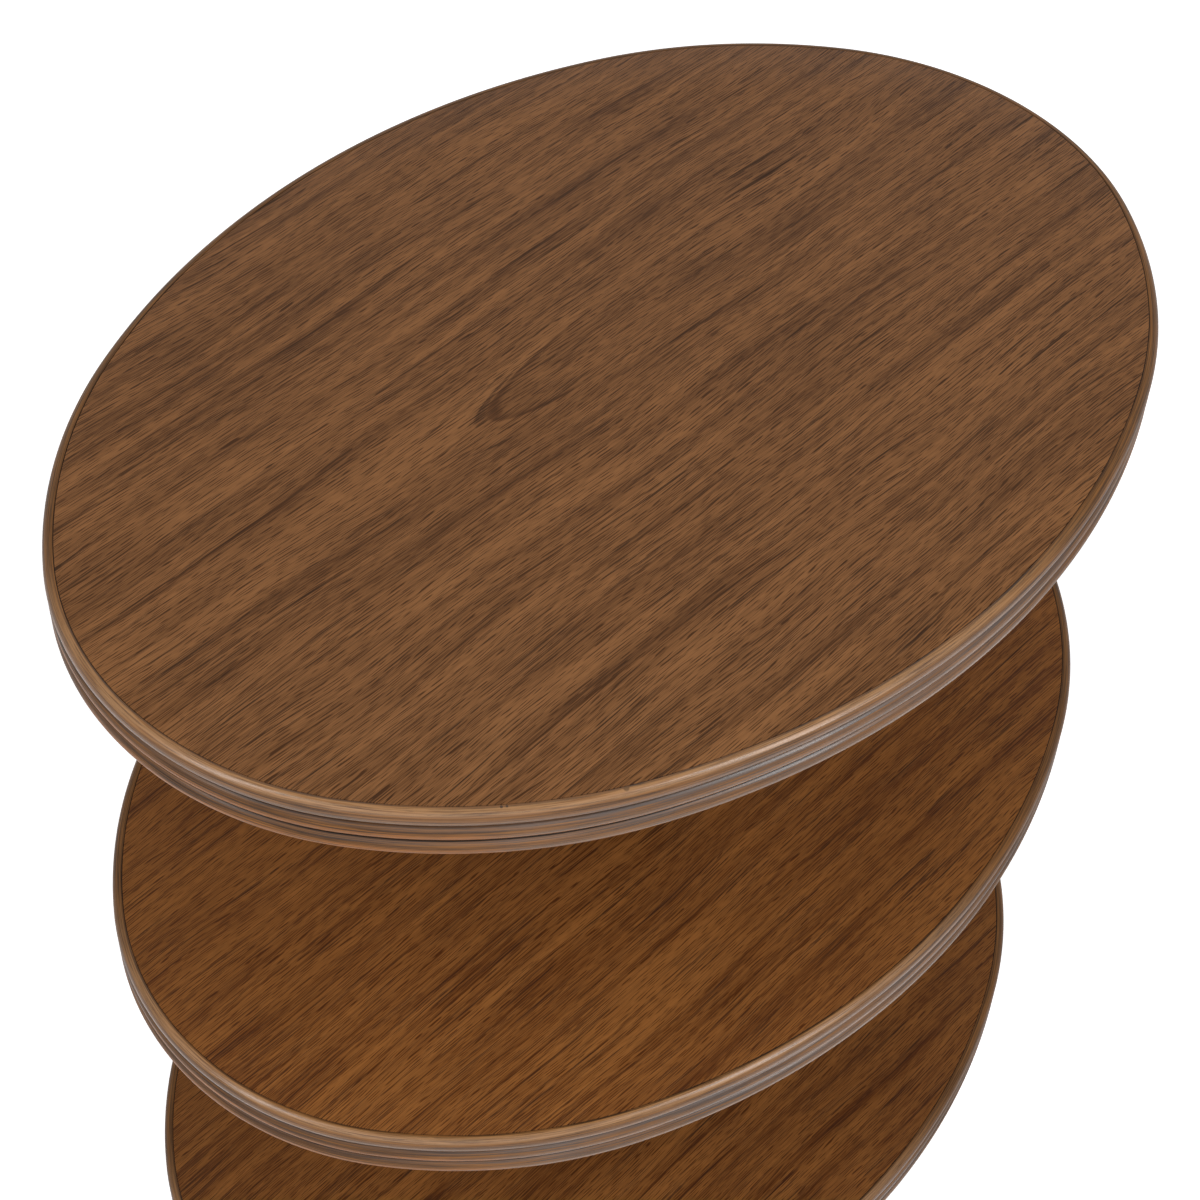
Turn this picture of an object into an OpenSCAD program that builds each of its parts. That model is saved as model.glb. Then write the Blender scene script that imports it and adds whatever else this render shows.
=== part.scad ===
// Oval side table: three equal tiers with a reeded edge, two turned columns and four turned feet.
// The origin is on the floor under the middle of the oval. X runs along the length and Z is up.

/* [Tiers] */
// Length of each oval tier
tier_length = 610; // [560:5:680]
// Width of each oval tier
tier_width = 443; // [390:1:500]
// Thickness of each tier at its edge
tier_thickness = 28.5; // [26:0.5:32]
// Height from one tier's top face to the next one's
tier_pitch = 261.5; // [220:0.5:300]
// Thickness of the face and backing veneers
veneer_thickness = 0.6; // [0.5:0.1:1]

/* [Oval] */
// Angle from the long axis to where an end arc stops
end_angle = 35; // [34:0.5:36]
// Angle from the long axis to where a side arc starts
side_angle = 65; // [64:0.5:66]
// Radius of the shoulder arcs, as a share of the geometric mean of half length and half width
shoulder_radius_share = 1.01; // [1:0.01:1.02]

/* [Edging] */
// Width of the solid edging, from the rim to the core
edging_width = 16; // [14:0.5:22]
// Number of reeds worked on the edge
reed_count = 3; // [3:1:4]
// Depth of the grooves between the reeds
reed_groove_depth = 2.75; // [2:0.05:3.2]
// Flat land behind the crown of the top and bottom reeds
reed_land = 0.35; // [0.1:0.05:0.8]
// Width of the quirk between a reed and the veneer
quirk_width = 0.4; // [0.2:0.1:1]
// Thickness of the tongue that enters the core
tongue_thickness = 6; // [4:0.5:9]
// Length of the tongue
tongue_length = 8; // [5:0.5:12]
// Glue gap round tongues, dowels and inserts
glue_gap = 0.1; // [0.05:0.05:0.2]

/* [Columns] */
// Radius of the flange at each end of a column
column_flange_radius = 46; // [42:1:56]
// Height of that flange, which is rounded over its whole edge
column_flange_height = 14; // [13:0.5:18]
// Radius of the shoulder behind the flange
column_shoulder_radius = 34; // [33:0.5:38]
// Height of that shoulder
column_shoulder_height = 3; // [1:0.5:6]
// Radius of the cove between the shoulder and the ring
column_cove_radius = 10; // [6:0.5:13]
// Radius of the ring at each end of the shaft
column_ring_radius = 28; // [26:0.5:32]
// Height of that ring
column_ring_height = 8; // [5:0.5:12]
// Radius of the shaft where it meets the rings
shaft_end_radius = 20; // [16:0.5:22]
// Radius of the shaft at its middle
shaft_middle_radius = 26; // [24:0.5:32]

/* [Mounting plate] */
// Radius of the plate under the top tier
plate_radius = 60; // [54:1:80]
// Thickness of the plate
plate_thickness = 16; // [15:0.5:22]
// Bevel round the lower edge of the plate
plate_bevel = 5; // [2:0.5:8]
// Radius of the circle that the plate's screws stand on
plate_screw_circle_radius = 51; // [50.5:0.5:52]
// Radius of a screw's shank
screw_radius = 2.1; // [1.5:0.1:3]
// Radius of a screw's countersunk head
screw_head_radius = 4.2; // [3.6:0.1:4.5]
// Length of a screw
screw_length = 34; // [24:1:38]
// Width of the slot in a screw's head
screw_slot_width = 1; // [0.6:0.1:1.4]
// Depth of that slot
screw_slot_depth = 1.2; // [0.6:0.1:1.5]

/* [Tie rod] */
// Radius of the rod through the columns
rod_radius = 5; // [4:0.5:6]
// Clearance round the rod in the bored wood
rod_clearance = 0.5; // [0.3:0.1:1]
// Gap between the rod and the hardware on it
thread_gap = 0.05; // [0.02:0.01:0.1]
// Length of rod that stands out below its nut
rod_projection = 3; // [1:0.5:4]
// Depth of the rod's end inside the surface at either end
rod_end_recess = 1; // [0.5:0.5:2]
// Width of the nut across its flats
nut_across_flats = 17; // [16:0.5:20]
// Height of the nut
nut_height = 8; // [6:0.5:8.5]
// Radius of the washer
washer_radius = 15; // [13:0.5:17]
// Thickness of the washer
washer_thickness = 2.5; // [1.5:0.5:3]
// Clearance round the washer in its counterbore
counterbore_clearance = 4; // [2:0.5:5]
// Radius of the tee nut's flange
tee_flange_radius = 13; // [11:0.5:18]
// Thickness of that flange
tee_flange_thickness = 1.8; // [1:0.1:2.5]
// Radius of the tee nut's barrel
tee_barrel_radius = 6.6; // [6.4:0.1:8]
// Length of that barrel
tee_barrel_length = 11; // [7:0.5:12]

/* [Dowels] */
// Radius of a locating dowel
dowel_radius = 4; // [3:0.5:5]
// Length of a dowel
dowel_length = 24; // [16:1:24]
// Radius of the circle that the dowels stand on
dowel_circle_radius = 28; // [26:0.5:29]
// Free depth at each end of a dowel's hole
dowel_end_gap = 0.5; // [0.3:0.1:1]

/* [Feet] */
// Height of a turned foot
foot_height = 102.5; // [92:0.5:140]
// Distance from the end of the oval to a foot's axis
foot_end_inset = 115; // [95:1:140]
// Distance from the side of the oval to a foot's axis
foot_side_inset = 116.5; // [100:0.5:135]
// Radius of the collar under the tier
foot_collar_radius = 27; // [24:0.5:32]
// Height of the collar, which is rounded over its whole edge
foot_collar_height = 8; // [5:0.5:12]
// Radius of the neck
foot_neck_radius = 15; // [12:0.5:18]
// Height of the neck
foot_neck_height = 13; // [9:0.5:16]
// Radius of the bulb at its widest
foot_bulb_radius = 30; // [28:0.5:36]
// Height of the bulb
foot_bulb_height = 46; // [36:0.5:52]
// Radius of the ring under the bulb
foot_ring_radius = 20; // [18:0.5:24]
// Height of that ring
foot_ring_height = 7; // [4:0.5:10]
// Radius of the toe just under the ring
toe_top_radius = 16; // [14:0.5:18]
// Radius of the toe at its lower end
toe_end_radius = 12.5; // [11:0.5:14]

/* [Foot hardware] */
// Radius of a hanger bolt
hanger_radius = 4; // [3:0.5:5]
// Length of a hanger bolt inside the foot
hanger_foot_length = 40; // [25:1:60]
// Length of a hanger bolt inside the tier
hanger_tier_length = 17; // [12:0.5:19]
// Radius of an insert nut's barrel
insert_radius = 6.2; // [5.8:0.1:8]
// Length of an insert nut
insert_length = 16; // [12:0.5:18]
// Radius of its flange
insert_flange_radius = 9; // [8.5:0.5:12]
// Thickness of its flange
insert_flange_thickness = 1.5; // [1:0.1:2]
// Radius of a glide
glide_radius = 14; // [12:0.5:18]
// Height of a glide
glide_height = 6; // [4:0.5:9]
// Bevel round the lower edge of a glide
glide_bevel = 1.5; // [0.5:0.5:2.5]
// Radius of a glide's nail
nail_radius = 1.6; // [1:0.1:2]
// Radius of the nail's head
nail_head_radius = 4; // [3:0.5:5]
// Thickness of the nail's head
nail_head_thickness = 1.4; // [0.8:0.1:2]
// Depth of the nail's head inside the glide
nail_head_recess = 1.6; // [0.8:0.1:2]
// Length of a nail
nail_length = 22; // [14:1:30]

/* [Hidden] */
$fn = 96;
// One overrun for every cut that passes through a face
overrun = 1;
// Largest turn between two points of a plate's outline
outline_step = 2.5;

half_length = tier_length / 2;
half_width = tier_width / 2;

// The oval is eight arcs that run into each other without a corner. The shoulder radius is chosen,
// and the end and side radii follow from the half length and the half width.
shoulder_radius = shoulder_radius_share * sqrt(half_length * half_width);
length_left = half_length - shoulder_radius * (cos(end_angle) - cos(side_angle));
width_left = half_width - shoulder_radius * (sin(side_angle) - sin(end_angle));
arc_determinant = (1 - cos(end_angle)) * (1 - sin(side_angle)) - sin(end_angle) * cos(side_angle);
end_radius = (length_left * (1 - sin(side_angle)) - width_left * cos(side_angle)) / arc_determinant;
side_radius = (width_left * (1 - cos(end_angle)) - length_left * sin(end_angle)) / arc_determinant;
end_x = half_length - end_radius;
shoulder_x = end_x - (shoulder_radius - end_radius) * cos(end_angle);
shoulder_y = -(shoulder_radius - end_radius) * sin(end_angle);
side_y = half_width - side_radius;

// Each arc has a name, its centre, its radius and the angles where it starts and stops.
ARCS = [
    ["right_end", [end_x, 0], end_radius, -end_angle, end_angle],
    ["back_right", [shoulder_x, shoulder_y], shoulder_radius, end_angle, side_angle],
    ["back", [0, side_y], side_radius, side_angle, 180 - side_angle],
    ["back_left", [-shoulder_x, shoulder_y], shoulder_radius, 180 - side_angle, 180 - end_angle],
    ["left_end", [-end_x, 0], end_radius, 180 - end_angle, 180 + end_angle],
    ["front_left", [-shoulder_x, -shoulder_y], shoulder_radius, 180 + end_angle, 180 + side_angle],
    ["front", [0, -side_y], side_radius, 180 + side_angle, 360 - side_angle],
    ["front_right", [shoulder_x, -shoulder_y], shoulder_radius, 360 - side_angle, 360 - end_angle],
];
TIERS = ["bottom", "middle", "top"];
FEET = [["front_left", -1, -1], ["front_right", 1, -1], ["back_left", -1, 1], ["back_right", 1, 1]];

foot_x = half_length - foot_end_inset;
foot_y = half_width - foot_side_inset;
reed_radius = tier_thickness / (2 * reed_count);
reed_inset = reed_radius + reed_land;
veneer_inset = reed_inset + quirk_width;
core_inset = edging_width + glue_gap;
groove_inset = edging_width + tongue_length + glue_gap;
groove_height = tongue_thickness + 2 * glue_gap;
core_thickness = tier_thickness - 2 * veneer_thickness;

underside_z = glide_height + foot_height;
gap_height = tier_pitch - tier_thickness;
upper_column_height = gap_height - plate_thickness;
column_end_height = column_flange_height + column_shoulder_height + column_cove_radius + column_ring_height;
plate_z = underside_z + 2 * tier_pitch - plate_thickness;

rod_hole_radius = rod_radius + rod_clearance;
hardware_bore_radius = rod_radius + thread_gap;
counterbore_radius = washer_radius + counterbore_clearance;
counterbore_depth = rod_end_recess + rod_projection + nut_height + washer_thickness;
nut_z = underside_z + rod_end_recess + rod_projection;
rod_bottom_z = underside_z + rod_end_recess;
rod_top_z = plate_z + plate_thickness - rod_end_recess;

dowel_hole_radius = dowel_radius + glue_gap;
dowel_hole_depth = dowel_length / 2 + dowel_end_gap;
// Height, and the axis that its pair of dowels lies along, of each joint on the columns
DOWEL_JOINTS = [
    [underside_z + tier_thickness, 0],
    [underside_z + tier_pitch, 90],
    [underside_z + tier_pitch + tier_thickness, 0],
    [plate_z, 90],
];

toe_height = foot_height - foot_collar_height - foot_neck_height - foot_bulb_height - foot_ring_height;
hanger_hole_radius = hanger_radius + thread_gap;
insert_hole_radius = insert_radius + glue_gap;
insert_recess_radius = insert_flange_radius + glue_gap;
insert_hole_depth = max(insert_length, hanger_tier_length) + dowel_end_gap;
nail_hole_radius = nail_radius + thread_gap;
screw_hole_radius = screw_radius + thread_gap;
screw_head_height = screw_head_radius - screw_radius;

// Height of a tier's underside, counted from the bottom tier
function tier_z(level) = underside_z + level * tier_pitch;

// Radius of the circle through the ends of a chord and the crown that rises above it
function crown_radius(half_chord, rise) = (half_chord * half_chord + rise * rise) / (2 * rise);

// Points along one arc of the oval, which lies inside the rim by the inset
function arc_points(arc, inset) =
    let (steps = ceil((arc[4] - arc[3]) / outline_step))
    [
        for (i = [0:steps - 1])
            let (angle = arc[3] + (arc[4] - arc[3]) * i / steps)
            arc[1] + (arc[2] - inset) * [cos(angle), sin(angle)]
    ];

// Oval plate whose outline lies inside the rim by the inset
module oval_plate(inset, height) {
    linear_extrude(height)
        polygon([for (arc = ARCS) each arc_points(arc, inset)]);
}

// Section of the edging, with the rim at X = 0 and the top face at Y = 0
module edging_section() {
    intersection() {
        for (reed = [0:reed_count - 1])
            translate([-reed_radius, -reed_radius * (2 * reed + 1)])
                circle(reed_radius);
        translate([-reed_inset, -tier_thickness])
            square([reed_inset, tier_thickness]);
    }
    translate([-edging_width, veneer_thickness - tier_thickness])
        square([edging_width - reed_groove_depth, core_thickness]);
    translate([-edging_width - tongue_length, -(tier_thickness + tongue_thickness) / 2])
        square([tongue_length + overrun, tongue_thickness]);
}

// Round hole on the axis of the columns
module axis_hole(z, radius, depth) {
    translate([0, 0, z])
        cylinder(h = depth, r = radius);
}

// Pair of dowel-sized cylinders on opposite sides of the columns' axis
module dowel_pair(z, turn, radius, length) {
    for (side = [0, 180])
        rotate(turn + side)
            translate([dowel_circle_radius, 0, z])
                cylinder(h = length, r = radius);
}

// Holes for the dowels of every joint on the columns
module dowel_holes() {
    for (joint = DOWEL_JOINTS)
        dowel_pair(joint[0] - dowel_hole_depth, joint[1], dowel_hole_radius, 2 * dowel_hole_depth);
}

// Everything that is bored through the tiers, where it passes them
module tier_holes() {
    axis_hole(underside_z - overrun, rod_hole_radius, tier_pitch + tier_thickness + 2 * overrun);
    axis_hole(underside_z - overrun, counterbore_radius, counterbore_depth + overrun);
    dowel_holes();
    for (foot = FEET)
        translate([foot[1] * foot_x, foot[2] * foot_y, underside_z - overrun]) {
            cylinder(h = insert_hole_depth + overrun, r = insert_hole_radius);
            cylinder(h = insert_flange_thickness + overrun, r = insert_recess_radius);
        }
    plate_screw_places()
        cylinder(h = screw_length + overrun, r = screw_hole_radius);
}

// Grooved core panel of a tier
module core(level) {
    color("peru")
        difference() {
            translate([0, 0, tier_z(level) + veneer_thickness])
                oval_plate(core_inset, core_thickness);
            translate([0, 0, tier_z(level) + (tier_thickness - groove_height) / 2])
                difference() {
                    oval_plate(core_inset - overrun, groove_height);
                    translate([0, 0, -overrun])
                        oval_plate(groove_inset, groove_height + 2 * overrun);
                }
            tier_holes();
        }
}

// Veneer on a tier's top face
module face_veneer(level) {
    color("saddlebrown")
        difference() {
            translate([0, 0, tier_z(level) + tier_thickness - veneer_thickness])
                oval_plate(veneer_inset, veneer_thickness);
            tier_holes();
        }
}

// Veneer on a tier's underside
module backing_veneer(level) {
    color("sienna")
        difference() {
            translate([0, 0, tier_z(level)])
                oval_plate(veneer_inset, veneer_thickness);
            tier_holes();
        }
}

// One length of reeded edging, along one arc of the oval
module edging(level, arc) {
    color("tan")
        translate([arc[1][0], arc[1][1], tier_z(level) + tier_thickness])
            rotate(arc[3])
                rotate_extrude(angle = arc[4] - arc[3])
                    translate([arc[2], 0])
                        edging_section();
}

// Half section of the turned moulding at the lower end of a column
module column_end_section() {
    flange_round = column_flange_height / 2;
    shoulder_z = column_flange_height + column_shoulder_height;
    ring_z = shoulder_z + column_cove_radius;
    cove_inner_radius = column_shoulder_radius - column_cove_radius;
    translate([column_flange_radius - flange_round, flange_round])
        circle(flange_round);
    square([column_flange_radius - flange_round, column_flange_height]);
    difference() {
        square([column_shoulder_radius, ring_z]);
        translate([cove_inner_radius + column_cove_radius, ring_z])
            circle(column_cove_radius);
    }
    translate([column_ring_radius - column_ring_height / 2, ring_z + column_ring_height / 2])
        circle(column_ring_height / 2);
    translate([0, shoulder_z])
        square([column_ring_radius - column_ring_height / 2, column_cove_radius + column_ring_height]);
}

// Turned and bored column of a given height, standing at a given height
module column(z, height) {
    shaft_length = height - 2 * column_end_height;
    shaft_curve = crown_radius(shaft_length / 2, shaft_middle_radius - shaft_end_radius);
    color("chocolate")
        difference() {
            translate([0, 0, z])
                rotate_extrude() {
                    column_end_section();
                    translate([0, height])
                        mirror([0, 1])
                            column_end_section();
                    intersection() {
                        translate([shaft_middle_radius - shaft_curve, height / 2])
                            circle(shaft_curve);
                        translate([0, column_end_height])
                            square([shaft_middle_radius + overrun, shaft_length]);
                    }
                }
            axis_hole(z - overrun, rod_hole_radius, height + 2 * overrun);
            dowel_holes();
        }
}

// Column between the bottom and middle tiers
module lower_column() {
    column(underside_z + tier_thickness, gap_height);
}

// Column between the middle tier and the mounting plate
module upper_column() {
    column(underside_z + tier_pitch + tier_thickness, upper_column_height);
}

// Puts a screw or its hole at each screw place, with its head at the plate's lower face
module plate_screw_places() {
    for (turn = [45:90:315])
        rotate(turn)
            translate([plate_screw_circle_radius, 0, plate_z])
                children();
}

// Countersunk head, widest at its lower face
module screw_head(gap) {
    rotate_extrude()
        polygon([
            [0, 0],
            [screw_head_radius + gap, 0],
            [screw_radius + gap, screw_head_height],
            [0, screw_head_height],
        ]);
}

// Turned plate that carries the top tier on the upper column
module mounting_plate() {
    color("sienna")
        difference() {
            translate([0, 0, plate_z])
                rotate_extrude()
                    polygon([
                        [0, 0],
                        [plate_radius - plate_bevel, 0],
                        [plate_radius, plate_bevel],
                        [plate_radius, plate_thickness],
                        [0, plate_thickness],
                    ]);
            axis_hole(plate_z - overrun, rod_hole_radius, plate_thickness);
            axis_hole(
                plate_z + plate_thickness - tee_barrel_length - tee_flange_thickness - glue_gap,
                tee_barrel_radius + glue_gap,
                tee_barrel_length + tee_flange_thickness + glue_gap + overrun
            );
            axis_hole(
                plate_z + plate_thickness - tee_flange_thickness,
                tee_flange_radius + glue_gap,
                tee_flange_thickness + overrun
            );
            dowel_holes();
            plate_screw_places() {
                cylinder(h = plate_thickness + overrun, r = screw_hole_radius);
                screw_head(thread_gap);
            }
        }
}

// Slotted screws that hold the plate to the top tier
module plate_screws() {
    color("silver")
        plate_screw_places()
            difference() {
                union() {
                    screw_head(0);
                    cylinder(h = screw_length, r = screw_radius);
                }
                translate([-screw_head_radius - overrun, -screw_slot_width / 2, -overrun])
                    cube([2 * (screw_head_radius + overrun), screw_slot_width, screw_slot_depth + overrun]);
            }
}

// Dowels that keep the columns from turning
module column_dowels() {
    color("burlywood")
        for (joint = DOWEL_JOINTS)
            dowel_pair(joint[0] - dowel_length / 2, joint[1], dowel_radius, dowel_length);
}

// Rod that clamps the tiers and the columns together
module tie_rod() {
    color("silver")
        axis_hole(rod_bottom_z, rod_radius, rod_top_z - rod_bottom_z);
}

// Washer in the counterbore of the bottom tier
module tie_washer() {
    color("silver")
        difference() {
            axis_hole(nut_z + nut_height, washer_radius, washer_thickness);
            axis_hole(nut_z, hardware_bore_radius, nut_height + washer_thickness + overrun);
        }
}

// Six-sided nut under the washer
module tie_nut() {
    color("silver")
        difference() {
            translate([0, 0, nut_z])
                cylinder(h = nut_height, r = nut_across_flats / 2 / cos(30), $fn = 6);
            axis_hole(nut_z - overrun, hardware_bore_radius, nut_height + 2 * overrun);
        }
}

// Flanged nut let into the top of the mounting plate
module tee_nut() {
    flange_z = plate_z + plate_thickness - tee_flange_thickness;
    color("silver")
        difference() {
            union() {
                axis_hole(flange_z, tee_flange_radius, tee_flange_thickness);
                axis_hole(flange_z - tee_barrel_length, tee_barrel_radius, tee_barrel_length);
            }
            axis_hole(flange_z - tee_barrel_length - overrun, hardware_bore_radius, plate_thickness);
        }
}

// Puts something at each foot's axis, at the height of the bottom tier's underside
module foot_places() {
    for (foot = FEET)
        translate([foot[1] * foot_x, foot[2] * foot_y, underside_z])
            children();
}

// Half section of a turned foot, with its top at Y = 0
module foot_section() {
    neck_z = -foot_collar_height - foot_neck_height;
    bulb_z = neck_z - foot_bulb_height;
    ring_z = bulb_z - foot_ring_height;
    collar_round = foot_collar_height / 2;
    ring_round = foot_ring_height / 2;
    neck_rise = foot_collar_radius - collar_round - foot_neck_radius;
    neck_curve = crown_radius(foot_neck_height / 2, min(neck_rise, foot_neck_height / 2));
    bulb_rise = foot_bulb_radius - toe_top_radius;
    bulb_curve = crown_radius(foot_bulb_height / 2, bulb_rise);
    translate([foot_collar_radius - collar_round, -collar_round])
        circle(collar_round);
    translate([0, -foot_collar_height])
        square([foot_collar_radius - collar_round, foot_collar_height]);
    difference() {
        translate([0, neck_z])
            square([foot_neck_radius + foot_neck_height / 2, foot_neck_height]);
        translate([foot_neck_radius + neck_curve, neck_z + foot_neck_height / 2])
            circle(neck_curve);
    }
    intersection() {
        translate([foot_bulb_radius - bulb_curve, bulb_z + foot_bulb_height / 2])
            circle(bulb_curve);
        translate([0, bulb_z])
            square([foot_bulb_radius + overrun, foot_bulb_height]);
    }
    translate([foot_ring_radius - ring_round, ring_z + ring_round])
        circle(ring_round);
    translate([0, ring_z])
        square([foot_ring_radius - ring_round, foot_ring_height]);
    polygon([
        [0, ring_z],
        [toe_top_radius, ring_z],
        [toe_end_radius, ring_z - toe_height],
        [0, ring_z - toe_height],
    ]);
}

// Turned foot round a straight heart, bored for its hanger bolt and its glide's nail
module foot(place) {
    color("chocolate")
        translate([place[1] * foot_x, place[2] * foot_y, underside_z])
            difference() {
                union() {
                    rotate_extrude()
                        foot_section();
                    translate([0, 0, -foot_height])
                        cylinder(h = foot_height, r = min(toe_end_radius, foot_neck_radius));
                }
                translate([0, 0, -hanger_foot_length - dowel_end_gap])
                    cylinder(h = hanger_foot_length + dowel_end_gap + overrun, r = hanger_hole_radius);
                translate([0, 0, -foot_height - overrun])
                    cylinder(h = nail_length + overrun, r = nail_hole_radius);
            }
}

// Bolts that hold the feet to the bottom tier
module hanger_bolts() {
    color("silver")
        foot_places()
            translate([0, 0, -hanger_foot_length])
                cylinder(h = hanger_foot_length + hanger_tier_length, r = hanger_radius);
}

// Flanged nuts let into the bottom tier for the hanger bolts
module insert_nuts() {
    color("goldenrod")
        foot_places()
            difference() {
                union() {
                    cylinder(h = insert_length, r = insert_radius);
                    cylinder(h = insert_flange_thickness, r = insert_flange_radius);
                }
                translate([0, 0, -overrun])
                    cylinder(h = insert_length + 2 * overrun, r = hanger_hole_radius);
            }
}

// Glides under the feet, each with a recess for its nail's head
module foot_glides() {
    color("dimgray")
        foot_places()
            translate([0, 0, -underside_z])
                difference() {
                    rotate_extrude()
                        polygon([
                            [0, 0],
                            [glide_radius - glide_bevel, 0],
                            [glide_radius, glide_bevel],
                            [glide_radius, glide_height],
                            [0, glide_height],
                        ]);
                    translate([0, 0, -overrun])
                        cylinder(h = glide_height + 2 * overrun, r = nail_hole_radius);
                    translate([0, 0, -overrun])
                        cylinder(
                            h = nail_head_recess + nail_head_thickness + overrun,
                            r = nail_head_radius + thread_gap
                        );
                }
}

// Nails that hold the glides
module glide_nails() {
    color("silver")
        foot_places()
            translate([0, 0, nail_head_recess - underside_z]) {
                cylinder(h = nail_head_thickness, r = nail_head_radius);
                cylinder(h = nail_length, r = nail_radius);
            }
}

for (level = [0:len(TIERS) - 1]) {
    core(level);
    face_veneer(level);
    backing_veneer(level);
    for (arc = ARCS)
        edging(level, arc);
}
lower_column();
upper_column();
mounting_plate();
plate_screws();
column_dowels();
tie_rod();
tie_washer();
tie_nut();
tee_nut();
for (place = FEET)
    foot(place);
hanger_bolts();
insert_nuts();
foot_glides();
glide_nails();
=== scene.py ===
"""Looks of the oval side table: three reeded tiers, turned columns and feet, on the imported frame.

Sizes in the classes are millimetres and angles are degrees, unless a class says otherwise. Meshes are in metres and in
the frame's own axes: X along the ovals, Z up, and the origin on the floor under their middle.
"""

from __future__ import annotations

import logging
import math
from dataclasses import dataclass, field
from enum import Enum
from typing import Sequence

import bmesh
import bpy
import numpy as np
from mathutils import Matrix, Vector


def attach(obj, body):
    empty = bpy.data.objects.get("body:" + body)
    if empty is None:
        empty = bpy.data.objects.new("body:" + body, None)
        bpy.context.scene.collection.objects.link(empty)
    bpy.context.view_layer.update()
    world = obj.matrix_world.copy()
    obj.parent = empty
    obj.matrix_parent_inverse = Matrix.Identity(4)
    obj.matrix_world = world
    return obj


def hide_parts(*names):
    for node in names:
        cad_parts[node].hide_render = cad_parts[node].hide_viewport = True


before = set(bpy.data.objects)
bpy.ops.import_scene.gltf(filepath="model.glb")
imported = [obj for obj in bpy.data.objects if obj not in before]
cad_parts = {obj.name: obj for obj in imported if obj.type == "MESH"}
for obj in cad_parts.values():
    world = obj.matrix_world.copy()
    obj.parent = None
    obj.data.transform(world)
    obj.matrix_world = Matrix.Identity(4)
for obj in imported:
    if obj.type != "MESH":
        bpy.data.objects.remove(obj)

LOG = logging.getLogger("oval_table")
MM = 0.001
ROOT = "root"
RIM = "rim"
WOOD_IOR = 1.45
TURNED_CREASE = 30.0
MERGE = 0.001
WHITE = (1.0, 1.0, 1.0, 1.0)
Colour = tuple[float, float, float, float]
Pair = tuple[float, float]


def srgb(red: float, green: float, blue: float) -> Colour:
    """Turns a screen colour into a linear one by the sRGB curve.

    Args:
        red: Red, from 0 to 255.
        green: Green, likewise.
        blue: Blue, likewise.

    Returns:
        The linear colour, with an alpha of 1.
    """
    shares = [channel / 255 for channel in (red, green, blue)]
    linear = [s / 12.92 if s <= 0.04045 else ((s + 0.055) / 1.055) ** 2.4 for s in shares]
    return (linear[0], linear[1], linear[2], 1.0)


class Slot(Enum):
    """Names of material slots of the record for this script's own pieces; they are passed along but not read here."""

    FACE = "walnut_veneer"
    REEDS = "reeded_walnut"
    TURNED = "turned_walnut"
    STEEL = "plated_steel"
    BRASS = "brass"
    NYLON = "nylon"


class Signal:
    """One output socket, used as a number in an expression."""

    def __init__(self, graph: Graph, socket: bpy.types.NodeSocket) -> None:
        """Keeps the graph and the socket."""
        self.graph = graph
        self.socket = socket

    def __add__(self, other: Term) -> Signal:
        """Sum."""
        return self.graph.math("ADD", self, other)

    def __radd__(self, other: Term) -> Signal:
        """Sum with a number first."""
        return self.graph.math("ADD", other, self)

    def __sub__(self, other: Term) -> Signal:
        """Difference."""
        return self.graph.math("SUBTRACT", self, other)

    def __rsub__(self, other: Term) -> Signal:
        """Difference with a number first."""
        return self.graph.math("SUBTRACT", other, self)

    def __mul__(self, other: Term) -> Signal:
        """Product."""
        return self.graph.math("MULTIPLY", self, other)

    def __rmul__(self, other: Term) -> Signal:
        """Product with a number first."""
        return self.graph.math("MULTIPLY", other, self)

    def __truediv__(self, other: Term) -> Signal:
        """Quotient."""
        return self.graph.math("DIVIDE", self, other)

    def __rtruediv__(self, other: Term) -> Signal:
        """Quotient with a number first."""
        return self.graph.math("DIVIDE", other, self)

    def __pow__(self, other: Term) -> Signal:
        """Power."""
        return self.graph.math("POWER", self, other)

    def __rpow__(self, other: Term) -> Signal:
        """Power of a number."""
        return self.graph.math("POWER", other, self)


Term = Signal | float


@dataclass(frozen=True)
class Layer:
    """One layer of noise: the sizes of its marks along the coordinates, and its weight in the wood's shade."""

    sizes: tuple[float, ...]
    seed: float = 0.0
    detail: float = 1.0
    roughness: float = 0.5
    weight: float = 1.0


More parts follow.
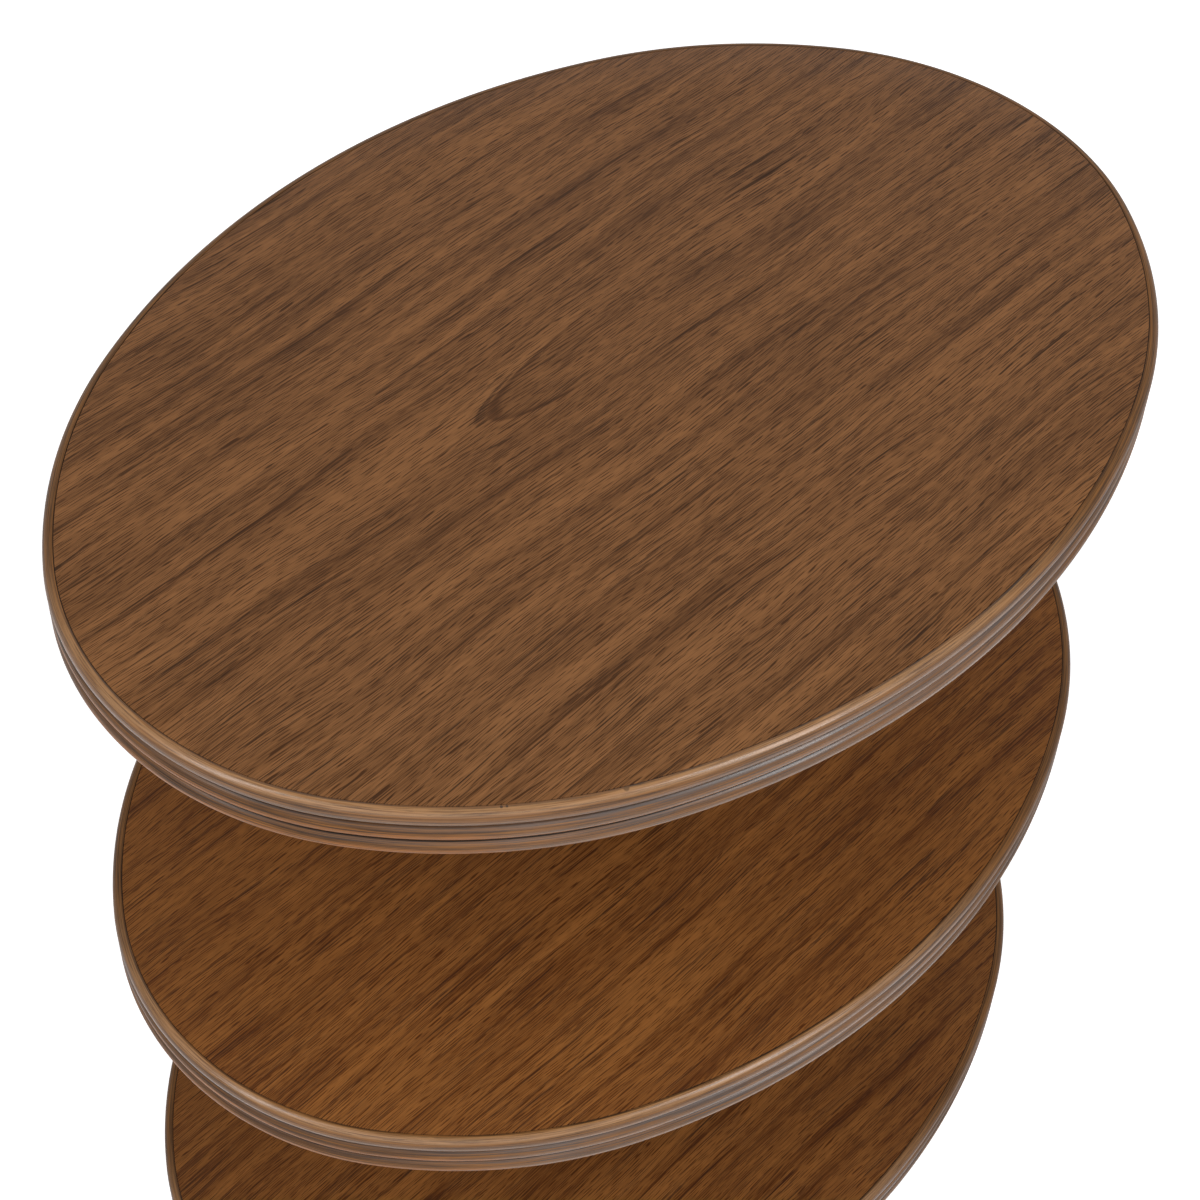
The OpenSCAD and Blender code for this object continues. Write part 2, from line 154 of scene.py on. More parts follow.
class Graph:
    """Node tree of one material or world, with a method for every kind of expression that is used here."""

    def __init__(
        self, owner: bpy.types.Material | bpy.types.World, seed: float = 0.0, output: str = "OutputMaterial"
    ) -> None:
        """Clears the owner's tree but for a new output.

        Args:
            owner: The material or the world.
            seed: Added to the seed of every layer of noise.
            output: Type of the output node after ShaderNode.
        """
        owner.use_nodes = True
        self.owner = owner
        self.seed = seed
        self.tree = owner.node_tree
        self.tree.nodes.clear()
        self.output = self.node(output)

    def node(self, kind: str, settings: dict | None = None, inputs: dict | None = None) -> bpy.types.Node:
        """Adds a node.

        Args:
            kind: Node type after ShaderNode.
            settings: Attributes that are set first.
            inputs: Values or links by socket identifier.

        Returns:
            The node.
        """
        made = self.tree.nodes.new("ShaderNode" + kind)
        for key, value in (settings or {}).items():
            setattr(made, key, value)
        sockets = {socket.identifier: socket for socket in made.inputs}
        for key, value in (inputs or {}).items():
            if isinstance(value, Signal):
                self.tree.links.new(value.socket, sockets[key])
            else:
                sockets[key].default_value = value
        return made

    def signal(self, made: bpy.types.Node, identifier: str) -> Signal:
        """Returns one output of a node."""
        return Signal(self, next(socket for socket in made.outputs if socket.identifier == identifier))

    def math(self, operation: str, first: Term, second: Term = 0.0) -> Signal:
        """Returns one Math operation on two values."""
        made = self.node("Math", {"operation": operation}, {"Value": first, "Value_001": second})
        return self.signal(made, "Value")

    def rise(self, value: Term, span: Pair) -> Signal:
        """Makes a smooth step.

        Args:
            value: Where on the step.
            span: The values at which the step is 0 and 1. The second may be the lower.

        Returns:
            The step, from 0 to 1.
        """
        falls = span[0] > span[1]
        ends = {"From Min": min(span), "From Max": max(span), "To Min": float(falls), "To Max": float(not falls)}
        made = self.node("MapRange", {"interpolation_type": "SMOOTHSTEP"}, {"Value": value, **ends})
        return self.signal(made, "Result")

    def between(self, share: Signal, span: Pair) -> Signal:
        """Returns the value that goes from the span's first number to its second as the share goes from 0 to 1."""
        return span[0] + share * (span[1] - span[0])

    def vector(self, x: Term, y: Term, z: Term) -> Signal:
        """Returns three values as one vector."""
        return self.signal(self.node("CombineXYZ", None, {"X": x, "Y": y, "Z": z}), "Vector")

    def layer(self, layer: Layer, *place: Signal, shift: Signal | None = None) -> Signal:
        """Draws a layer of noise.

        Args:
            layer: The layer.
            place: Two or three coordinates, each of which is divided by the layer's size along it.
            shift: How many marks the layer is moved along the first of them.

        Returns:
            Noise from 0 to 1 about 0.5.
        """
        marks = [axis / size for axis, size in zip(place, layer.sizes)]
        x, y, z = marks if len(marks) == 3 else (*marks, 0.0)
        vector = self.vector(x if shift is None else x + shift, y, z + (layer.seed + self.seed))
        inputs = {"Vector": vector, "Scale": 1.0, "Detail": layer.detail, "Roughness": layer.roughness}
        return self.signal(self.node("TexNoise", {"noise_dimensions": "3D"}, inputs), "Fac")

    def swing(self, layer: Layer, *place: Signal, shift: Signal | None = None) -> Signal:
        """Returns a layer of noise about zero, times its weight."""
        return (self.layer(layer, *place, shift=shift) - 0.5) * layer.weight

    def cells(self, x: Term, y: Term, z: Term) -> tuple[Signal, Signal]:
        """Draws cells of random shape.

        Args:
            x: First coordinate, in cells.
            y: Second coordinate, likewise.
            z: Third coordinate, likewise.

        Returns:
            The distance to the nearest cell's middle, and that cell's own random number.
        """
        inputs = {"Vector": self.vector(x, y, z), "Scale": 1.0, "Randomness": 1.0}
        made = self.node("TexVoronoi", {"voronoi_dimensions": "3D", "feature": "F1"}, inputs)
        split = self.node("SeparateColor", None, {"Color": self.signal(made, "Color")})
        return self.signal(made, "Distance"), self.signal(split, "Red")

    def blend(self, share: Term, first: Colour | Signal, second: Colour | Signal) -> Signal:
        """Mixes two colours.

        Args:
            share: Share of the second colour, which is held between 0 and 1.
            first: First colour.
            second: Second colour.

        Returns:
            The mixed colour.
        """
        settings = {"data_type": "RGBA", "blend_type": "MIX", "clamp_factor": True}
        made = self.node("Mix", settings, {"Factor_Float": share, "A_Color": first, "B_Color": second})
        return self.signal(made, "Result_Color")

    def in_millimetres(self, metres: Signal) -> tuple[Signal, Signal, Signal]:
        """Splits a vector.

        Args:
            metres: The vector, in metres.

        Returns:
            Its three parts, in millimetres.
        """
        scaled = self.node("VectorMath", {"operation": "SCALE"}, {"Vector": metres, "Scale": 1 / MM})
        made = self.node("SeparateXYZ", None, {"Vector": self.signal(scaled, "Vector")})
        return self.signal(made, "X"), self.signal(made, "Y"), self.signal(made, "Z")

    def place(self) -> tuple[Signal, Signal, Signal]:
        """Returns the object coordinates in millimetres."""
        return self.in_millimetres(self.signal(self.node("TexCoord"), "Object"))

    def along(self, layer: str) -> tuple[Signal, Signal, Signal]:
        """Returns a UV layer in millimetres."""
        return self.in_millimetres(self.signal(self.node("UVMap", {"uv_map": layer}), "UV"))

    def attribute(self, name: str) -> Signal:
        """Returns one number stored on the mesh."""
        return self.signal(self.node("Attribute", {"attribute_name": name}), "Fac")

    def bump(self, height: Signal, depth: float, strength: float) -> Signal:
        """Returns the normal of a height, of which 1 stands for a depth in millimetres."""
        inputs = {"Height": height, "Distance": depth * MM, "Strength": strength}
        return self.signal(self.node("Bump", None, inputs), "Normal")

    def shader(self, kind: str, inputs: dict) -> Signal:
        """Returns the output of a new shader node."""
        return Signal(self, self.node(kind, None, inputs).outputs[0])

    def close(self, surface: Signal) -> None:
        """Links a shader to the output."""
        self.tree.links.new(surface.socket, self.output.inputs["Surface"])

    def finish(self, inputs: dict) -> bpy.types.Material:
        """Closes the tree with one surface shader and returns the material."""
        self.close(self.shader("BsdfPrincipled", inputs))
        return self.owner


@dataclass(frozen=True)
class VeneerFinish:
    """Flat-cut walnut veneer under a satin lacquer.

    The figure is the cut of nested growth rings: a ring's value is the root of the squared distance from the figure's
    axis and the squared depth of the ring under the sheet, and that depth falls along X in two smooth steps, so a
    cathedral opens at each step. A pair whose name ends in rise is the start and the end of a smooth step.
    """

    name: str
    pale: Colour
    dark: Colour
    pore: Colour
    seed: float = 0.0

    axis_y: float = 24.0
    wander: Layer = Layer((190.0, 60.0), weight=16.0)
    first_turn_x: float = -39.0
    first_taper: float = 44.0
    first_depth: float = 22.0
    second_turn_x: float = 185.0
    second_taper: float = 20.0
    second_depth: float = 7.0

    ring_spacing: float = 16.8
    ring_offset: float = 0.72
    drift: Layer = Layer((40.0, 300.0), 3.0, weight=0.5)
    ring_stride: float = 5.3
    vigour: Layer = Layer((1.0, 110.0), 5.0, 2.0)
    vigour_rise: Pair = (0.38, 0.68)
    latewood_rise: Pair = (0.45, 0.97)
    latewood_weight: float = 0.16
    line_rise: Pair = (0.90, 0.965)
    line_weight: float = 0.42
    ring_end_rise: Pair = (1.0, 0.975)

    side_shift: float = 31.7
    band: Layer = Layer((8.5, 220.0), 7.0, 2.0, weight=1.55)
    vein: Layer = Layer((2.6, 120.0), 9.0, 2.0, 0.6, weight=0.16)
    vein_rise: Pair = (0.52, 0.70)
    streak: Layer = Layer((1.7, 110.0), 15.0)
    streak_rise: Pair = (0.55, 0.67)
    streak_share: Pair = (0.4, 1.0)
    streak_weight: float = 0.28

    fibre: Layer = Layer((0.46, 70.0), 11.0, 1.0, 0.7, weight=0.72)
    texture: Layer = Layer((0.42, 14.0), 23.0, 0.0, weight=0.8)
    fleck: Layer = Layer((1.8, 60.0), 19.0, 1.0, 0.6, weight=0.30)
    cloud: Layer = Layer((45.0, 22.0), 13.0, 2.0, weight=0.3)
    hatch_period: float = 1.35
    hatch_bend: Layer = Layer((4.0, 70.0), 25.0, weight=3.0)
    hatch_rise: Pair = (0.30, 0.95)
    hatch_gate: Layer = Layer((1.2, 9.0), 27.0, 0.0)
    hatch_gate_rise: Pair = (0.40, 0.60)
    hatch_weight: float = 0.90
    shade_level: float = 0.27

    slit: Layer = Layer((0.8, 24.0), 17.0, weight=0.30)
    slit_rise: Pair = (0.05, 0.01)
    dash: Layer = Layer((0.42, 60.0), 21.0)
    dash_rise: Pair = (0.62, 0.70)
    dash_in_streak: float = 0.16
    dash_in_vein: float = 0.06
    pore_share: float = 0.75

    specular: float = 0.16
    roughness: float = 0.46
    pore_roughness: float = 0.2
    fibre_roughness: float = 0.08
    pore_relief: float = 0.8
    line_relief: float = 0.2
    fibre_relief: float = 0.15
    relief_depth: float = 0.06
    relief_strength: float = 0.6

    def material(self) -> bpy.types.Material:
        """Builds the finish.

        Returns:
            Its material.
        """
        g = Graph(bpy.data.materials.new(self.name), self.seed)
        x, y, _ = g.place()
        across = y - self.axis_y + g.swing(self.wander, x, y)
        first = self.first_depth / (1 + g.math("EXPONENT", (x - self.first_turn_x) / self.first_taper))
        second = self.second_depth / (1 + g.math("EXPONENT", (x - self.second_turn_x) / self.second_taper))
        depth = first + second
        ring = g.math("SQRT", across * across + depth * depth)
        side = g.math("SIGN", across) * self.side_shift

        # Each ring ends in a dark line, whose strength is the ring's own and changes along it.
        count = ring / self.ring_spacing + self.ring_offset + g.swing(self.drift, ring, x)
        part = g.math("FRACT", count)
        vigour = g.rise(g.layer(self.vigour, g.math("FLOOR", count) * self.ring_stride, x), self.vigour_rise)
        ring_end = g.rise(part, self.ring_end_rise) * vigour
        latewood = g.rise(part, self.latewood_rise) * ring_end
        line = g.rise(part, self.line_rise) * ring_end

        vein = g.rise(g.layer(self.vein, ring, x, shift=side), self.vein_rise)
        streak = g.rise(g.layer(self.streak, ring, x, shift=side), self.streak_rise)
        streak = streak * g.between(vein, self.streak_share)
        fibre = g.layer(self.fibre, across, x) - 0.5

        # The hatch is a sine across the grain, bent a little and shown in short dashes.
        turns = across / self.hatch_period + g.layer(self.hatch_bend, across, x) * self.hatch_bend.weight
        hatch = g.rise(g.math("SINE", turns * math.tau), self.hatch_rise)
        hatch = hatch * g.rise(g.layer(self.hatch_gate, across, x), self.hatch_gate_rise)

        shade = self.shade_level + g.swing(self.band, ring, x, shift=side) + g.swing(self.cloud, x, y)
        shade = shade + g.swing(self.fleck, across, x) + g.swing(self.texture, across, x) + fibre * self.fibre.weight
        shade = shade + latewood * self.latewood_weight + line * self.line_weight + hatch * self.hatch_weight
        shade = shade + vein * self.vein.weight + streak * self.streak_weight

        slit = g.rise(g.math("ABSOLUTE", g.layer(self.slit, across, x) - 0.5), self.slit_rise) * self.slit.weight
        crowd = streak * self.dash_in_streak + vein * self.dash_in_vein
        pores = g.math("MAXIMUM", slit, g.rise(g.layer(self.dash, across, x) + crowd, self.dash_rise))

        wood = g.blend(shade, self.pale, self.dark)
        relief = fibre * self.fibre_relief - pores * self.pore_relief - line * self.line_relief
        return g.finish({
            "Base Color": g.blend(pores * self.pore_share, wood, self.pore),
            "Roughness": self.roughness + pores * self.pore_roughness + fibre * self.fibre_roughness,
            "IOR": WOOD_IOR,
            "Specular IOR Level": self.specular,
            "Normal": g.bump(relief, self.relief_depth, self.relief_strength),
        })


@dataclass(frozen=True)
class Pin:
    """Filled pin hole of the edging: its place along and round the rim, its radius and the filler's colour."""

    run: float
    girth: float
    radius: float
    tone: Colour


@dataclass(frozen=True)
class ReedFinish:
    """Solid walnut edging: glaze and painted shade in the grooves, crowns rubbed pale with a painted sheen, and long
    streaks along the rim.

    The mesh holds three numbers. The hollow is 0 on a crown and 1 in a groove, the flank is 1 at a reed's upper edge
    and -1 at its lower edge, and the reed is counted from the top. A pair whose name ends in rise is the start and the
    end of a smooth step, one whose name ends in share has the values at 0 and at 1 of what it follows, and one whose
    name ends in mix weighs the streak and the hair.
    """

    name: str
    pale: Colour
    dark: Colour
    glaze_and_shade: Colour
    haze_and_reflection: Colour
    rubbed_and_sheen: Colour
    bare_and_light: Colour
    seed: float = 0.0
    pins: Sequence[Pin] = ()

    streak: Layer = Layer((70.0, 0.70), 0.0, 3.0, 0.6)
    hair: Layer = Layer((30.0, 0.26), 4.0, 2.0, 0.65)
    patch: Layer = Layer((30.0, 4.0), 6.0, 2.0, weight=0.8)
    worn: Layer = Layer((24.0, 0.7), 8.0, 3.0, 0.6)
    fade: Layer = Layer((50.0, 12.0), 10.0)
    shade_level: float = 0.32
    shade_mix: Pair = (2.8, 2.0)

    near_way: Pair = (0.67, 0.74)
    near_rise: Pair = (-90.0, -185.0)
    left_rise: Pair = (-215.0, -275.0)
    lit_rise: Pair = (1085.0, 1130.0)
    under_rise: Pair = (1.2, 1.8)
    far_painted_shade: Pair = (0.22, 0.0)
    left_painted_shade: float = 0.25

    rub_sheen_hollow_rise: Pair = (0.45, 0.25)
    rub_sheen_flank_rise: Pair = (0.30, 0.55)
    rub_sheen_worn_rise: Pair = (0.30, 0.60)
    rub_sheen_near_share: Pair = (0.08, 0.68)

    bare_light_lit_shift: Pair = (-0.35, 0.0)
    bare_light_flank_rise: Pair = (-0.05, -0.45)
    bare_light_hollow_rise: Pair = (0.9, 0.5)
    bare_light_worn_rise: Pair = (0.28, 0.52)
    bare_light_lit_share: Pair = (0.85, 0.60)

    ragged_flank_mix: Pair = (1.4, 1.3)
    haze_reflection_rise: Pair = (0.25, 0.75)
    fade_rise: Pair = (0.38, 0.60)
    haze_reflection_fade_share: Pair = (0.30, 0.85)
    haze_reflection_lit_share: Pair = (0.4, 1.0)
    lowest_reed_rise: Pair = (2.2, 2.8)
    lowest_edge_rise: Pair = (-0.60, -0.95)
    lowest_share: float = 0.6

    crack_hair_rise: Pair = (0.04, 0.0)
    crack_streak_rise: Pair = (-0.05, 0.08)
    crack_share: float = 0.7
    stain_shade_mix: Pair = (0.5, 0.3)
    stain_shade_rise: Pair = (0.66, 0.94)
    first_groove_rise: Pair = (0.7, 1.0)
    second_groove_rise: Pair = (1.8, 2.2)
    groove_share: Pair = (0.28, 0.85)
    quirk_rise: Pair = (0.55, 0.50)
    quirk_worn_rise: Pair = (0.40, 0.55)
    quirk_run_rise: Pair = (1125.0, 1145.0)
    quirk_shade_share: Pair = (0.15, 0.80)
    pin_edge: float = 0.6
    pin_share: float = 0.85

    specular: float = 0.12
    roughness: float = 0.44
    roughness_mix: Pair = (0.2, 0.3)
    coat_far: float = 0.08
    coat_near: float = 0.52
    coat_dulled: float = 0.2
    coat_hair: float = 0.4
    coat_hollow_rise: Pair = (1.0, 0.6)
    coat_roughness: float = 0.27
    relief_mix: Pair = (0.6, 0.5)
    relief_depth: float = 0.12
    relief_strength: float = 0.8

    def material(self) -> bpy.types.Material:
        """Builds the finish.

        Returns:
            Its material.
        """
        g = Graph(bpy.data.materials.new(self.name), self.seed)
        run, girth, _ = g.along(RIM)
        x, y, _ = g.place()
        hollow, flank, reed = (g.attribute(name) for name in ("hollow", "flank", "reed"))
        streak, hair = g.swing(self.streak, run, girth), g.swing(self.hair, run, girth)
        worn = g.layer(self.worn, run, girth)

        def mixed(weights: Pair) -> Signal:
            """Returns the sum of the streak and the hair, each by its weight."""
            return streak * weights[0] + hair * weights[1]

        # Where on the edging a point is: level counts reeds downwards without a jump, under is 1 below the top reed,
        # near on the side with the light, left at the left end and lit along the right of the near side.
        level = reed - flank / 2
        under = g.rise(reed, self.under_rise)
        near = g.rise(x * self.near_way[0] + y * self.near_way[1], self.near_rise)
        left = g.rise(x, self.left_rise)
        lit = g.rise(run, self.lit_rise)

        shade = self.shade_level + mixed(self.shade_mix) + g.swing(self.patch, run, girth)
        # Painted shade: the wood is darker on the far side from the light, and on the lower reeds at the left end.
        shade = shade + g.between(near, self.far_painted_shade) + left * under * self.left_painted_shade
        wood = g.blend(shade, self.pale, self.dark)

        # The top reed's crown is rubbed pale and given a painted sheen, which is stronger on the side with the light.
        rub_and_sheen = g.rise(hollow, self.rub_sheen_hollow_rise) * g.rise(flank, self.rub_sheen_flank_rise) * (1 - under)
        rub_and_sheen = rub_and_sheen * g.rise(worn, self.rub_sheen_worn_rise) * g.between(near, self.rub_sheen_near_share)
        wood = g.blend(rub_and_sheen, wood, self.rubbed_and_sheen)
        # The lower flanks of the other reeds are painted warm and light: partly bare wood, and partly painted light
        # where the lamps reach them little, more so away from the lit run.
        bare_and_light = g.rise(flank + streak + g.between(lit, self.bare_light_lit_shift), self.bare_light_flank_rise)
        bare_and_light = bare_and_light * g.rise(hollow, self.bare_light_hollow_rise) * under * g.rise(worn, self.bare_light_worn_rise)
        wood = g.blend(bare_and_light * g.between(lit, self.bare_light_lit_share), wood, self.bare_and_light)

        # Grey haze lies on the upper flanks, partly as a painted reflection of the lamps that is strongest along the
        # lit run, and the same grey lies on the lowest edge.
        ragged_flank = flank + mixed(self.ragged_flank_mix)
        fade = g.rise(g.layer(self.fade, run, girth), self.fade_rise)
        haze_and_reflection = g.rise(ragged_flank, self.haze_reflection_rise) * under * g.between(fade, self.haze_reflection_fade_share)
        wood = g.blend(haze_and_reflection * g.between(lit, self.haze_reflection_lit_share), wood, self.haze_and_reflection)
        lowest = g.rise(reed, self.lowest_reed_rise) * g.rise(ragged_flank, self.lowest_edge_rise)
        wood = g.blend(lowest * self.lowest_share, wood, self.haze_and_reflection)

        # Dark glaze sits in the cracks, and the grooves are darkened partly by glaze and partly by painted shade, the
        # lower groove more.
        crack = g.rise(g.math("ABSOLUTE", hair), self.crack_hair_rise) * g.rise(streak, self.crack_streak_rise)
        wood = g.blend(crack * self.crack_share, wood, self.glaze_and_shade)
        groove = g.between(g.rise(level, self.second_groove_rise), self.groove_share)
        groove = groove * g.rise(level, self.first_groove_rise)
        stain_and_shade = g.rise(hollow + mixed(self.stain_shade_mix), self.stain_shade_rise)
        wood = g.blend(stain_and_shade * groove, wood, self.glaze_and_shade)
        # Painted shade darkens the quirk beside the veneer, most on the near side from 1125 mm along the run.
        quirk = g.rise(level, self.quirk_rise) * g.rise(worn, self.quirk_worn_rise)
        quirk = quirk * g.between(near * g.rise(run, self.quirk_run_rise), self.quirk_shade_share)
        wood = g.blend(quirk, wood, self.glaze_and_shade)
        for pin in self.pins:
            away = g.math("SQRT", (run - pin.run) ** 2 + (girth - pin.girth) ** 2) + hair * pin.radius
            edge = g.rise(away, (pin.radius, pin.radius * self.pin_edge))
            wood = g.blend(edge * self.pin_share, wood, pin.tone)

        dulled = (left + (1 - lit)) * under * self.coat_dulled
        coat = self.coat_far + near * (self.coat_near - dulled) + hair * self.coat_hair
        return g.finish({
            "Base Color": wood,
            "Roughness": self.roughness + mixed(self.roughness_mix),
            "IOR": WOOD_IOR,
            "Specular IOR Level": self.specular,
            "Coat Weight": coat * g.rise(hollow, self.coat_hollow_rise),
            "Coat Roughness": self.coat_roughness,
            "Normal": g.bump(mixed(self.relief_mix), self.relief_depth, self.relief_strength),
        })


@dataclass(frozen=True)
class TurnedFinish:
    """Turned walnut whose grain stands upright, under the same lacquer."""

    name: str
    pale: Colour
    dark: Colour
    pore: Colour
    heart_x: float = 38.0
    heart_y: float = -22.0
    seed: float = 0.0

    sway: Layer = Layer((60.0, 60.0, 150.0), weight=8.0)
    ring_spacing: float = 6.4
    line_rise: Pair = (0.55, 0.96)
    line_end_rise: Pair = (1.0, 0.97)
    line_weight: float = 0.32
    band: Layer = Layer((7.0, 260.0), 3.0, 3.0, 0.55, weight=1.1)
    fibre: Layer = Layer((0.8, 0.8, 22.0), 0.0, 3.0, 0.6)
    fibre_weight: float = 0.8
    shade_level: float = 0.36
    pore_width: float = 0.8
    pore_length: float = 7.0
    pore_rise: Pair = (0.34, 0.22)
    pore_pick_rise: Pair = (0.42, 0.32)
    pore_share: float = 0.55

    roughness: float = 0.38
    fibre_roughness: float = 0.15
    pore_roughness: float = 0.15
    coat: float = 0.3
    coat_roughness: float = 0.22
    fibre_relief: float = 0.2
    relief_depth: float = 0.06
    relief_strength: float = 0.6

    def material(self) -> bpy.types.Material:
        """Builds the finish.

        Returns:
            Its material.
        """
        g = Graph(bpy.data.materials.new(self.name), self.seed)
        x, y, z = g.place()
        east, north = x - self.heart_x + g.swing(self.sway, x, y, z), y - self.heart_y
        ring = g.math("SQRT", east * east + north * north)
        part = g.math("FRACT", ring / self.ring_spacing)
        line = g.rise(part, self.line_rise) * g.rise(part, self.line_end_rise)
        fibre = g.swing(self.fibre, x, y, z)
        shade = self.shade_level + g.swing(self.band, ring, z) + fibre * self.fibre_weight + line * self.line_weight
        gap, pick = g.cells(x / self.pore_width, y / self.pore_width, z / self.pore_length)
        pores = g.rise(gap, self.pore_rise) * g.rise(pick, self.pore_pick_rise)
        return g.finish({
            "Base Color": g.blend(pores * self.pore_share, g.blend(shade, self.pale, self.dark), self.pore),
            "Roughness": self.roughness + fibre * self.fibre_roughness + pores * self.pore_roughness,
            "IOR": WOOD_IOR,
            "Coat Weight": self.coat,
            "Coat Roughness": self.coat_roughness,
            "Normal": g.bump(fibre * self.fibre_relief - pores, self.relief_depth, self.relief_strength),
        })


@dataclass(frozen=True)
class PlainFinish:
    """Even finish with a fine mottle: board, backing, beech, metal or nylon."""

    name: str
    pale: Colour
    dark: Colour
    grain: tuple[float, float, float] = (2.0, 2.0, 2.0)
    metallic: float = 0.0
    roughness: float = 0.5
    roughness_range: float = 0.1
    mottle_detail: float = 4.0
    mottle_roughness: float = 0.6
    mottle_weight: float = 1.4
    slow_scale: float = 9.0
    slow_detail: float = 2.0
    shade_level: float = 0.5
    relief_depth: float = 0.02
    relief_strength: float = 0.5

    def material(self) -> bpy.types.Material:
        """Builds the finish.

        Returns:
            Its material.
        """
        g = Graph(bpy.data.materials.new(self.name))
        place = g.place()
        mottle = g.swing(Layer(self.grain, 0.0, self.mottle_detail, self.mottle_roughness), *place)
        slow_sizes = tuple(size * self.slow_scale for size in self.grain)
        slow = g.swing(Layer(slow_sizes, 0.0, self.slow_detail), *place)
        return g.finish({
            "Base Color": g.blend(mottle * self.mottle_weight + slow + self.shade_level, self.pale, self.dark),
            "Metallic": self.metallic,
            "Roughness": self.roughness + mottle * self.roughness_range,
            "Normal": g.bump(mottle, self.relief_depth, self.relief_strength),
        })


class Skin:
    """Mesh arrays in millimetres: points, faces of one size at a time, UVs and numbers on the points."""

    def __init__(self, name: str) -> None:
        """Starts an empty skin.

        Args:
            name: Name of the mesh.
        """
        self.name = name
        self.points = np.zeros((0, 3))
        self.corners: list[np.ndarray] = []
        self.sizes: list[np.ndarray] = []
        self.uvs: list[np.ndarray] = []
        self.numbers: dict[str, np.ndarray] = {}

    def faces(self, corners: np.ndarray, uvs: np.ndarray) -> None:
        """Adds faces.

        Args:
            corners: Point numbers, one row for each face.
            uvs: Place of each corner on the layer, in millimetres.
        """
        self.corners.append(corners.reshape(-1))
        self.sizes.append(np.full(len(corners), corners.shape[1]))
        self.uvs.append(uvs.reshape(-1, 2))

    def mesh(self, crease: float = 34.0) -> bpy.types.Mesh:
        """Makes the Blender mesh.

        Args:
            crease: Angle past which an edge stays sharp.

        Returns:
            The mesh, in metres.
        """
        made = bpy.data.meshes.new(self.name)
        corners, sizes = np.concatenate(self.corners), np.concatenate(self.sizes)
        made.vertices.add(len(self.points))
        made.vertices.foreach_set("co", (self.points * MM).astype(np.float32).reshape(-1))
        made.loops.add(len(corners))
        made.loops.foreach_set("vertex_index", corners.astype(np.int32))
        made.polygons.add(len(sizes))
        made.polygons.foreach_set("loop_start", np.concatenate([[0], np.cumsum(sizes)[:-1]]).astype(np.int32))
        layer = made.uv_layers.new(name=RIM)
        layer.data.foreach_set("uv", (np.concatenate(self.uvs) * MM).astype(np.float32).reshape(-1))
        for key, values in self.numbers.items():
            made.attributes.new(key, "FLOAT", "POINT").data.foreach_set("value", values.astype(np.float32))
        made.update(calc_edges=True)
        made.polygons.foreach_set("use_smooth", np.ones(len(sizes), bool))
        made.set_sharp_from_angle(angle=math.radians(crease))
        made.validate()
        return made


def grid_faces(rows: int, columns: int, ring: bool, loop: bool) -> tuple[np.ndarray, np.ndarray]:
    """Quads of a grid of points numbered row by row.

    Args:
        rows: Number of rows of points.
        columns: Number of points in a row.
        ring: Whether the last row joins the first.
        loop: Whether a row's last point joins its first.

    Returns:
        Point numbers of each quad, and each corner's unwrapped row and column.
    """
    steps = np.arange(rows if ring else rows - 1), np.arange(columns if loop else columns - 1)
    i, j = np.meshgrid(*steps, indexing="ij")
    row = np.stack([i, i + 1, i + 1, i], -1).reshape(-1, 4)
    column = np.stack([j, j, j + 1, j + 1], -1).reshape(-1, 4)
    return (row % rows) * columns + column % columns, np.stack([row, column], -1)


def arc_line(centre: Pair, radius: float, start: float, stop: float, steps: int) -> np.ndarray:
    """Returns points on a circle from one angle to another: centre plus radius times cosine and sine."""
    turn = np.radians(np.linspace(start, stop, steps + 1))
    return np.stack([centre[0] + radius * np.cos(turn), centre[1] + radius * np.sin(turn)], -1)


def girths(section: np.ndarray) -> np.ndarray:
    """Returns how far round a closed section each of its points is, and at the end the way all round it."""
    return np.concatenate([[0], np.cumsum(np.hypot(*(np.roll(section, -1, 0) - section).T))])


def lathe(name: str, section: np.ndarray, axis: Pair, base: float, steps: int) -> Skin:
    """Closed surface of revolution.

    A point is the axis plus the section's radius times the cosine and sine of the turn, at the section's height over
    the base. The section is a closed loop that runs upwards on the outside and doesn't touch the axis.

    Args:
        name: Name of the mesh.
        section: Radii and heights, without the first point again at the end.
        axis: Place of the axis.
        base: Height of the section's zero.
        steps: Number of points round the axis.

    Returns:
        The skin.
    """
    skin = Skin(name)
    turn = np.linspace(0, math.tau, steps, endpoint=False)[:, None]
    radius, height = section[None, :, 0], section[None, :, 1] + base
    parts = (axis[0] + radius * np.cos(turn), axis[1] + radius * np.sin(turn), height + 0 * turn)
    skin.points = np.stack(parts, -1).reshape(-1, 3)
    corners, place = grid_faces(steps, len(section), True, True)
    run = place[..., 0] * math.tau * section[:, 0].max() / steps
    skin.faces(corners, np.stack([run, girths(section)[place[..., 1]]], -1))
    return skin


@dataclass(frozen=True)
class Arc:
    """One of the eight arcs of the oval."""

    name: str
    centre: Pair
    radius: float
    start: float
    stop: float

    def points(self, inset: np.ndarray, turn: np.ndarray) -> np.ndarray:
        """Returns centre plus the radius less the inset, times cosine and sine of the turn, in the arrays' shape."""
        reach = self.radius - inset
        return np.stack([self.centre[0] + reach * np.cos(turn), self.centre[1] + reach * np.sin(turn)], -1)

    def length(self) -> float:
        """Returns the length of the arc on the rim."""
        return self.radius * math.radians(self.stop - self.start)


